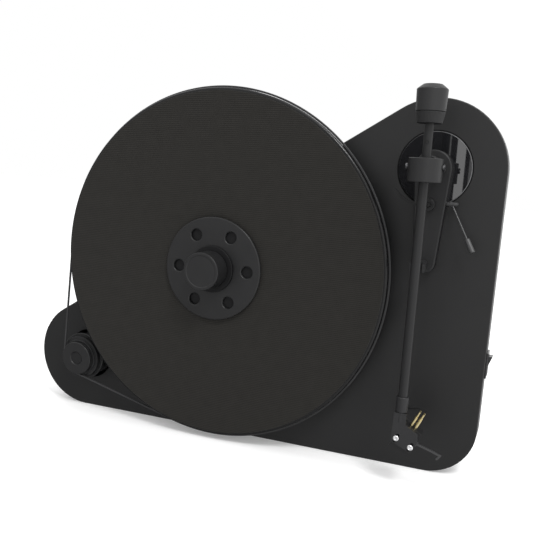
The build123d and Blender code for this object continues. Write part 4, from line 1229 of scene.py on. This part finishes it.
@dataclass
class Drive(SubAssembly):
    """The motor with its stepped pulley and the belt round the platter."""

    facets: int = 144
    bore: float = 1.55 * MM
    flange_radius: float = 22.6 * MM
    flange_width: float = 2.2 * MM
    flange_rounding: float = 0.7 * MM
    fast_radius: float = 20.2 * MM
    fast_width: float = 4.7 * MM
    middle_radius: float = 17.2 * MM
    middle_width: float = 1.7 * MM
    middle_rounding: float = 0.5 * MM
    slow_radius: float = 14.6 * MM
    slow_width: float = 2.4 * MM
    cap_radius: float = 15.8 * MM
    cap_rounding: float = 0.8 * MM
    inner_corner: float = 0.2 * MM
    outer_corner: float = 0.3 * MM
    dish_radius: float = 6.6 * MM
    dish_depth: float = 1.2 * MM
    dish_slope: float = 0.7 * MM
    dish_rounding: float = 0.4 * MM
    centre_radius: float = 5.85 * MM
    centre_height: float = 0.5 * MM
    centre_rounding: float = 0.1 * MM
    centre_sink: float = 0.1 * MM
    belt_size: float = 1.6 * MM
    belt_gap: float = 0.25 * MM
    belt_rounding: float = 0.35 * MM
    belt_steps: int = 360
    plate_rounding: float = 0.3 * MM

    def build(self) -> None:
        """Turn the pulley, run the belt round it and round the motor plate's edges."""
        place = Round.of("pulley")
        self.make_pulley(place)
        self.settle(self.belt(place), Body.DECK, BELT_RUBBER, "drive_belt")
        self.soften("motor_plate", self.plate_rounding, Body.DECK, BLACK_METAL)

    def make_pulley(self, place: Round) -> None:
        """Turn the stepped pulley and the inset in its dish.

        Args:
            place: where the pulley is.
        """
        top = place.length()
        fast = self.flange_width + self.fast_width
        middle = fast + self.middle_width
        slow = middle + self.slow_width
        floor = top - self.dish_depth
        inner, outer = self.inner_corner, self.outer_corner
        self.turn("pulley_body", [
            (self.bore, 0, 0), (self.flange_radius, 0, outer),
            (self.flange_radius, self.flange_width, self.flange_rounding),
            (self.fast_radius, self.flange_width, inner), (self.fast_radius, fast, outer),
            (self.middle_radius, fast, inner), (self.middle_radius, middle, self.middle_rounding),
            (self.slow_radius, middle, inner), (self.slow_radius, slow, inner),
            (self.cap_radius, slow, outer), (self.cap_radius, top, self.cap_rounding),
            (self.dish_radius, top, self.dish_rounding),
            (self.dish_radius - self.dish_slope, floor, self.dish_rounding), (0, floor, 0),
            (0, slow, 0), (self.bore, slow, 0)], place.origin(), FORWARD, Body.PULLEY,
            self.turned_about(ANODISED, "pulley", Along.DEPTH), "pulley", segments=self.facets)
        foot = Vector((place.x, place.front + self.dish_depth + self.centre_sink, place.z))
        self.turn("pulley_centre",
                  ring_profile(0, self.centre_radius, self.centre_height, 0.0, self.centre_rounding),
                  foot, FORWARD, Body.PULLEY, CENTRE_BLACK)

    def belt(self, pulley: Round) -> bpy.types.Object:
        """The belt: a square rubber loop with rounded corners.

        Args:
            pulley: where the pulley is.

        Returns:
            The belt.
        """
        rim = Round.of("platter")
        low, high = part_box("drive_belt")
        middle = (low.y + high.y) / 2
        half = self.belt_size / 2
        inside = self.belt_gap + half
        circles = [((rim.x, rim.z), rim.radius + inside),
                   ((pulley.x, pulley.z), self.slow_radius + inside)]
        line = hull_points(circles, self.belt_steps)
        corners = box_corners((-half, -half), (half, half))
        section = rounded([(*corner, self.belt_rounding) for corner in corners], EDGE_STEPS)

        def run(shape: bmesh.types.BMesh) -> None:
            """Carry the section round the loop.

            Args:
                shape: the bmesh.
            """
            rings = []
            for step, (x, z) in enumerate(line):
                turn = 2 * math.pi * step / len(line)
                out = Vector((math.cos(turn), 0, math.sin(turn)))
                rings.append([shape.verts.new(Vector((x, middle, z)) + out * across + Vector((0, deep, 0)))
                              for across, deep in section])
            join_rings(shape, rings)

        return new_piece("drive_belt_loop", mesh_from("drive_belt_loop", run), COPY_SHARP_DEG)

    def dress(self) -> None:
        """Finish the motor's nodes."""
        self.finish_nodes(MOTOR_STEEL, "motor_can", "motor_shaft")
        self.finish_nodes(RUBBER_BLACK, "motor_grommets")


@dataclass
class ArmBase(SubAssembly):
    """The glossy disc let into the plinth, the tapered base plate and the pillar."""

    facets: int = 160
    rim_width: float = 0.6 * MM
    rim_rounding: float = 0.1 * MM
    stud_bore: float = 8.1 * MM
    rest_rounding: float = 0.3 * MM

    def build(self) -> None:
        """Turn the disc with its chamfered rim, and round the armrest's edges."""
        place = Round.of("arm_base_disc")
        edge, tall = place.radius - self.rim_width, place.length()
        self.turn("arm_base_mirror", ring_profile(self.stud_bore, edge, tall), place.origin(), FORWARD,
                  Body.DECK, GLOSS_DISC, "arm_base_disc", segments=self.facets)
        self.turn("arm_base_rim", [
            (edge, 0, 0), (place.radius, 0, 0), (place.radius, tall - self.rim_width, self.rim_rounding),
            (edge, tall, 0)], place.origin(), FORWARD, Body.DECK, RIM_STEEL, segments=self.facets)
        self.soften("armrest", self.rest_rounding, Body.DECK, PLASTIC)

    def dress(self) -> None:
        """Finish the nodes that are shown as they are."""
        self.finish_nodes(BLACK_METAL, "arm_base_plate", "arm_pillar")
        self.finish_nodes(POLISHED_STEEL, "pillar_nut", "swing_bearings")


@dataclass
class Tonearm(SubAssembly):
    """The yoke, the sleeve, the tube and the rear stub."""

    yoke_rounding: float = 0.45 * MM
    yoke_limit: float = 30.0
    sleeve_rounding: float = 0.3 * MM
    tube_radius: float = 3.6 * MM
    tube_wall: float = 0.6 * MM
    stub_radius: float = 3.4 * MM
    stub_step: float = 6.9 * MM
    stub_step_rounding: float = 0.1 * MM
    stub_end_rounding: float = 0.3 * MM
    set_screw_radius: float = 1.5 * MM
    set_screw_height: float = 0.5 * MM
    set_screw_rounding: float = 0.1 * MM
    set_screw_bore: float = 0.85 * MM
    set_screw_bore_rounding: float = 0.05 * MM
    set_screw_floor: float = 0.1 * MM
    set_screw_sink: float = 0.42 * MM
    set_screw_rise: float = 17.4 * MM
    set_screw_facets: int = 40

    def build(self) -> None:
        """Round the yoke and the sleeve, and turn the tube, the stub and its set screw."""
        self.soften("arm_yoke", self.yoke_rounding, Body.YOKE,
                    self.turned_about(YOKE_BLACK, "arm_yoke", Along.UP), self.yoke_limit)
        self.soften("arm_sleeve", self.sleeve_rounding, Body.ARM, BLACK_METAL)
        low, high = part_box("arm_tube")
        foot = Vector(((low.x + high.x) / 2, (low.y + high.y) / 2, low.z))
        self.turn("arm_tube_body",
                  ring_profile(self.tube_radius - self.tube_wall, self.tube_radius, high.z - low.z),
                  foot, UPWARD, Body.ARM, TUBE_BLACK, "arm_tube")
        low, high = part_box("rear_stub")
        self.make_stub(Vector((foot.x, foot.y, low.z)), high.z - low.z)

    def make_stub(self, foot: Vector, tall: float) -> None:
        """Turn the rear stub, which is thinner above a step, and its set screw.

        Args:
            foot: the middle of its lower end.
            tall: its height.
        """
        step = self.stub_step
        self.turn("rear_stub_body", [
            (0, 0, 0), (self.tube_radius, 0, 0), (self.tube_radius, step, self.stub_step_rounding),
            (self.stub_radius, step, 0), (self.stub_radius, tall, self.stub_end_rounding), (0, tall, 0)],
            foot, UPWARD, Body.ARM, TUBE_BLACK, "rear_stub")
        seat = Vector((foot.x, foot.y - self.stub_radius + self.set_screw_sink, foot.z + self.set_screw_rise))
        self.turn("stub_set_screw", [
            (0, 0, 0), (self.set_screw_radius, 0, 0),
            (self.set_screw_radius, self.set_screw_height, self.set_screw_rounding),
            (self.set_screw_bore, self.set_screw_height, self.set_screw_bore_rounding),
            (self.set_screw_bore, self.set_screw_floor, 0), (0, self.set_screw_floor, 0)],
            seat, FORWARD, Body.ARM, COLLAR_BLACK, segments=self.set_screw_facets)

    def dress(self) -> None:
        """Finish the nodes that are shown as they are."""
        self.finish_nodes(POLISHED_STEEL, "swing_shaft")
        self.finish_nodes(DARK_STEEL, "pivot_screws")


@dataclass
class Headshell(SubAssembly):
    """The collar, the headshell and the cartridge with its leads."""

    shell_rounding: float = 0.35 * MM
    cartridge_rounding: float = 0.4 * MM
    stylus_rounding: float = 0.3 * MM
    collar_rounding: float = 0.3 * MM
    collar_limit: float = 25.0
    screw_facets: int = 48
    shank_radius: float = 1.2 * MM
    head_radius: float = 2.35 * MM
    head_height: float = 1.6 * MM
    head_low_rounding: float = 0.1 * MM
    head_top_rounding: float = 0.6 * MM
    socket_radius: float = 1.05 * MM
    socket_taper: float = 0.9
    socket_depth: float = 0.7 * MM
    socket_edge_rounding: float = 0.15 * MM
    socket_floor_rounding: float = 0.05 * MM

    def build(self) -> None:
        """Round the edges of the headshell, cartridge, stylus block and collar, and turn the screws."""
        self.soften("headshell", self.shell_rounding, Body.ARM, SHELL_BLACK)
        self.soften("cartridge", self.cartridge_rounding, Body.ARM, CARTRIDGE_PLASTIC)
        self.soften("stylus_block", self.stylus_rounding, Body.STYLUS, CARTRIDGE_PLASTIC)
        self.soften("collar", self.collar_rounding, Body.ARM, PLASTIC, self.collar_limit)
        screws = new_piece("cartridge_screw_heads", mesh_from("cartridge_screw_heads", self.add_screws))
        self.settle(screws, Body.ARM, SCREW_STEEL, "cartridge_screws")

    def screw_profile(self, shank: float) -> list[Point2]:
        """The profile of a screw with a domed socket head, from its shank's end to its socket's floor.

        Args:
            shank: the shank's length.

        Returns:
            (radius, height) points, with height 0 where the head sits.
        """
        top = -self.head_height
        floor = top + self.socket_depth
        downwards = rounded([
            (0, shank, 0), (self.shank_radius, shank, 0), (self.shank_radius, 0, 0),
            (self.head_radius, 0, self.head_low_rounding), (self.head_radius, top, self.head_top_rounding),
            (self.socket_radius, top, self.socket_edge_rounding),
            (self.socket_radius * self.socket_taper, floor, self.socket_floor_rounding), (0, floor, 0)])
        return [(radius, -height) for radius, height in downwards]

    def add_screws(self, shape: bmesh.types.BMesh) -> None:
        """Add the two cartridge screws to a bmesh, each where the model has its own.

        Args:
            shape: the bmesh.
        """
        low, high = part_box("cartridge_screws")
        between = (low.x + high.x) / 2
        seat = low.y + self.head_height
        profile = self.screw_profile(high.y - seat)
        corners = [vertex.co for vertex in self.nodes["cartridge_screws"].data.vertices]
        for left in (True, False):
            across = [corner.x for corner in corners if (corner.x < between) == left]
            upward = [corner.z for corner in corners if (corner.x < between) == left]
            middle = Vector(((min(across) + max(across)) / 2, seat, (min(upward) + max(upward)) / 2))
            add_lathe(shape, profile, middle, FORWARD, self.screw_facets)

    def dress(self) -> None:
        """Finish the nodes that are shown as they are."""
        self.finish_nodes(GOLD_PLATE, "lead_clips")
        self.finish_nodes(LEAD_WIRE, "lead_wires")
        self.finish_nodes(LEVER_BLACK, "finger_lift")
        self.finish_nodes(POLISHED_STEEL, "stylus")


@dataclass
class Counterweight(SubAssembly):
    """The weight and its dial on the rear stub."""

    facets: int = 128
    bore: float = 3.45 * MM
    bore_rounding: float = 0.2 * MM
    bore_wall: float = 1.2 * MM
    low_radius: float = 10.7 * MM
    low_rounding: float = 0.25 * MM
    shoulder: float = 3.4 * MM
    shoulder_step: float = 1.2 * MM
    shoulder_rise: float = 1.0 * MM
    shoulder_rounding: float = 1.0 * MM
    top_radius: float = 6.8 * MM
    top_rounding: float = 0.6 * MM
    dial_low: float = 9.05 * MM
    dial_low_rounding: float = 0.6 * MM
    dial_top_rounding: float = 0.25 * MM
    flutes: int = 60
    flute_facets: int = 6
    flute_depth: float = 0.12 * MM
    flute_reach: float = 0.8 * MM

    def build(self) -> None:
        """Turn the weight and the fluted dial."""
        low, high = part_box("counterweight")
        foot = Vector(((low.x + high.x) / 2, (low.y + high.y) / 2, low.z))
        radius, top = (high.x - low.x) / 2, high.z - low.z
        edge, ceiling = top - self.shoulder, top - self.bore_wall
        self.turn("counterweight_body", [
            (self.bore, 0, self.bore_rounding), (self.low_radius, 0, self.low_rounding),
            (radius, edge, self.shoulder_rounding),
            (radius - self.shoulder_step, edge + self.shoulder_rise, self.shoulder_rounding),
            (self.top_radius, top, self.top_rounding), (0, top, 0), (0, ceiling, 0), (self.bore, ceiling, 0)],
            foot, UPWARD, Body.WEIGHT, WEIGHT_BLACK, "counterweight", segments=self.facets)
        low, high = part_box("weight_dial")
        wide, tall = (high.x - low.x) / 2, high.z - low.z
        self.turn("weight_dial_body", [
            (self.bore, 0, self.bore_rounding), (self.dial_low, 0, self.dial_low_rounding),
            (wide, tall, self.dial_top_rounding), (self.bore, tall, self.bore_rounding)],
            Vector((foot.x, foot.y, low.z)), UPWARD, Body.WEIGHT, DIAL_PLASTIC, "weight_dial",
            segments=self.flutes * self.flute_facets, wobble=self.flute)

    def flute(self, radius: float, angle: float) -> float:
        """The dial's radius at an angle, a little less in each grip flute.

        Args:
            radius: the radius without flutes.
            angle: the angle about the dial's axis.

        Returns:
            The radius with flutes, which only the dial's outside has.
        """
        if radius < self.dial_low - self.flute_reach:
            return radius
        return radius - self.flute_depth * (0.5 - 0.5 * math.cos(angle * self.flutes))


@dataclass
class CueLift(SubAssembly):
    """The lift that raises the arm, and the lever that works it."""

    bush_rounding: float = 0.25 * MM
    bar_rounding: float = 0.3 * MM
    grip_rounding: float = 0.6 * MM
    housing_rounding: float = 0.3 * MM

    def build(self) -> None:
        """Round the edges of the lever's bush and grip, and of the lift's bar and housing."""
        self.soften("lever_bush", self.bush_rounding, Body.DECK, BLACK_METAL)
        self.soften("lift_bar", self.bar_rounding, Body.LIFT, BAR_PLASTIC)
        self.soften("lever_grip", self.grip_rounding, Body.LEVER, GRIP_RUBBER)
        self.soften("lift_housing", self.housing_rounding, Body.DECK, BLACK_METAL)

    def dress(self) -> None:
        """Finish the nodes that are shown as they are."""
        self.finish_nodes(LEVER_BLACK, "lever_shaft", "lever_rod")


@dataclass
class PowerSwitch(SubAssembly):
    """The rocker switch in the plinth's right side."""

    bezel_rounding: float = 0.3 * MM
    rocker_rounding: float = 0.4 * MM

    def build(self) -> None:
        """Round the edges of the bezel and the rocker."""
        self.soften("switch_bezel", self.bezel_rounding, Body.DECK, GLOSS_PLASTIC)
        self.soften("switch_rocker", self.rocker_rounding, Body.SWITCH, GLOSS_PLASTIC)


# ------------------------------------------------------------------ studio
@dataclass(frozen=True)
class Softbox:
    """One soft light."""

    name: str
    place: Point3
    width: float
    height: float
    power: float

    def switch_on(self, target: Vector) -> None:
        """Hang the light and aim it at a point.

        Args:
            target: the point.
        """
        lamp = bpy.data.lights.new(self.name, "AREA")
        lamp.shape = "RECTANGLE"
        lamp.size = self.width
        lamp.size_y = self.height
        lamp.energy = self.power
        holder = add_object(self.name, lamp)
        holder.location = self.place
        holder.rotation_euler = (target - Vector(self.place)).to_track_quat("-Z", "Y").to_euler()


STRIP_DISTANCE = 2.05
STRIP_RISE = 0.13
STRIP_HEIGHT = 0.7


def strip(name: str, across: float, width: float, power: float) -> Softbox:
    """One of the upright strips in front, which the glossy disc mirrors as lines of light.

    Args:
        name: the light's name.
        across: its X.
        width: its width.
        power: its power in watts.

    Returns:
        The light.
    """
    return Softbox(name, (across, -STRIP_DISTANCE, STRIP_RISE), width, STRIP_HEIGHT, power)


def panel(name: str, corners: Sequence[Point3]) -> bpy.types.Object:
    """A piece with one flat face."""
    return new_piece(name, mesh_from(name, lambda shape: shape.faces.new(
        [shape.verts.new(corner) for corner in corners])))


def paper(name: str, colour: Colour, roughness: float, specular: float) -> Sheet:
    """A plain matte material for the studio.

    Args:
        name: the material's name.
        colour: its colour.
        roughness: its roughness.
        specular: its specular level.

    Returns:
        The material's tree.
    """
    sheet = Sheet(name)
    sheet.set(Base_Color=(*colour, 1.0), Roughness=roughness, Specular_IOR_Level=specular)
    return sheet


@dataclass
class Studio:
    """The pale floor, the soft lights and the camera."""

    azimuth_deg: float = 20.276
    elevation_deg: float = 11.231
    roll_deg: float = 3.383
    camera_place: Point3 = (0.258547, -0.618151, 0.083232)
    focal_length: float = 44.745
    shift_x: float = 0.00507
    shift_y: float = 0.05662
    clip_start: float = 0.01
    floor_size: float = 14.0
    floor_gap: float = 0.3 * MM
    floor_pale: Colour = (0.86, 0.86, 0.86)
    floor_roughness: float = 0.8
    floor_specular: float = 0.2
    floor_glow: float = 0.2
    card_low: Point2 = (-0.34, -0.25)
    card_high: Point2 = (-0.012, 0.52)
    card_distance: float = 2.12
    card_dark: Colour = (0.03, 0.03, 0.03)
    card_roughness: float = 0.9
    card_specular: float = 0.1
    sky: Colour = (1.0, 1.0, 1.0)
    sky_slope: Point3 = (1.0, 0.0, 1.2)
    sky_dim_at: float = -1.1
    sky_bright_at: float = 0.3
    sky_dim: float = 0.22
    sky_bright: float = 1.25
    lights: tuple[Softbox, ...] = (
        Softbox("key_softbox", (0.95, -1.1, 1.6), 0.45, 0.45, 22.0),
        strip("wide_strip", -0.0355, 0.031, 0.17),
        strip("bright_strip", -0.1665, 0.007, 0.040),
        strip("thin_strip", -0.0965, 0.005, 0.014),
        strip("faint_strip", -0.0756, 0.005, 0.011),
    )

    def build(self) -> None:
        """Set up the whole studio."""
        self.make_camera()
        self.make_floor()
        self.make_card()
        self.make_sky()
        middle = sum((Vector(corner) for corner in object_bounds()), Vector()) / 2
        for light in self.lights:
            light.switch_on(middle)
        view = bpy.context.scene.view_settings
        view.view_transform = "Standard"
        view.look = "None"

    def make_camera(self) -> None:
        """Put up the camera and make it the scene's own."""
        turn, tilt, roll = map(math.radians, (self.azimuth_deg, self.elevation_deg, self.roll_deg))
        back = Vector((math.sin(turn) * math.cos(tilt), -math.cos(turn) * math.cos(tilt), math.sin(tilt)))
        right = Vector((math.cos(turn), math.sin(turn), 0))
        up = back.cross(right)
        across = math.cos(roll) * right + math.sin(roll) * up
        upright = math.cos(roll) * up - math.sin(roll) * right
        data = bpy.data.cameras.new("camera")
        data.lens = self.focal_length
        data.shift_x = self.shift_x
        data.shift_y = self.shift_y
        data.clip_start = self.clip_start
        camera = add_object("camera", data)
        turned = Matrix((across, upright, back)).transposed().to_4x4()
        camera.matrix_world = Matrix.Translation(self.camera_place) @ turned
        bpy.context.scene.camera = camera

    def make_floor(self) -> None:
        """Lay a plain pale floor under the turntable."""
        half = self.floor_size / 2
        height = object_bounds()[0][2] - self.floor_gap
        floor = panel("floor", [(x, y, height) for x, y in box_corners((-half, -half), (half, half))])
        sheet = paper("floor_paper", self.floor_pale, self.floor_roughness, self.floor_specular)
        sheet.set(Emission_Color=(1.0, 1.0, 1.0, 1.0), Emission_Strength=self.floor_glow)
        floor.data.materials.append(sheet.material)
        floor.visible_glossy = False
        floor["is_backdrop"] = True

    def make_card(self) -> None:
        """Stand a dark card in front, so that the glossy disc has something dark to mirror."""
        corners = box_corners(self.card_low, self.card_high)
        card = panel("dark_card", [(x, -self.card_distance, z) for x, z in corners])
        sheet = paper("card_paper", self.card_dark, self.card_roughness, self.card_specular)
        card.data.materials.append(sheet.material)
        card.visible_camera = False
        card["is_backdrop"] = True

    def make_sky(self) -> None:
        """Light the room from all round, less on the left, with a plain white backdrop."""
        world = bpy.data.worlds.new("studio_sky")
        world.use_nodes = True
        tree = world.node_tree
        ground = tree.nodes["Background"]
        ground.inputs["Color"].default_value = (*self.sky, 1.0)
        place = tree.nodes.new("ShaderNodeTexCoord")
        slope = tree.nodes.new("ShaderNodeVectorMath")
        slope.operation = "DOT_PRODUCT"
        slope.inputs[1].default_value = self.sky_slope
        fade = tree.nodes.new("ShaderNodeMapRange")
        fade.inputs["From Min"].default_value = self.sky_dim_at
        fade.inputs["From Max"].default_value = self.sky_bright_at
        fade.inputs["To Min"].default_value = self.sky_dim
        fade.inputs["To Max"].default_value = self.sky_bright
        seen = tree.nodes.new("ShaderNodeLightPath")
        most = tree.nodes.new("ShaderNodeMath")
        most.operation = "MAXIMUM"
        tree.links.new(place.outputs["Generated"], slope.inputs[0])
        tree.links.new(slope.outputs["Value"], fade.inputs["Value"])
        tree.links.new(fade.outputs["Result"], most.inputs[0])
        tree.links.new(seen.outputs["Is Camera Ray"], most.inputs[1])
        tree.links.new(most.outputs["Value"], ground.inputs["Strength"])
        bpy.context.scene.world = world


def main() -> None:
    """Load the frame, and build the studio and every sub-assembly."""
    logging.basicConfig(level=logging.INFO, format="%(name)s %(message)s")
    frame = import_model()
    studio = Studio()
    studio.build()
    for kind in (Cabinet, PlatterSet, RecordClamp, Drive, ArmBase, Tonearm, Headshell, Counterweight, CueLift,
                 PowerSwitch):
        assembly = kind(frame["nodes"])
        assembly.build()
        assembly.dress()
        log.info("%s is done: %d new pieces", kind.__name__, len(assembly.made))


if __name__ == "__main__":
    main()
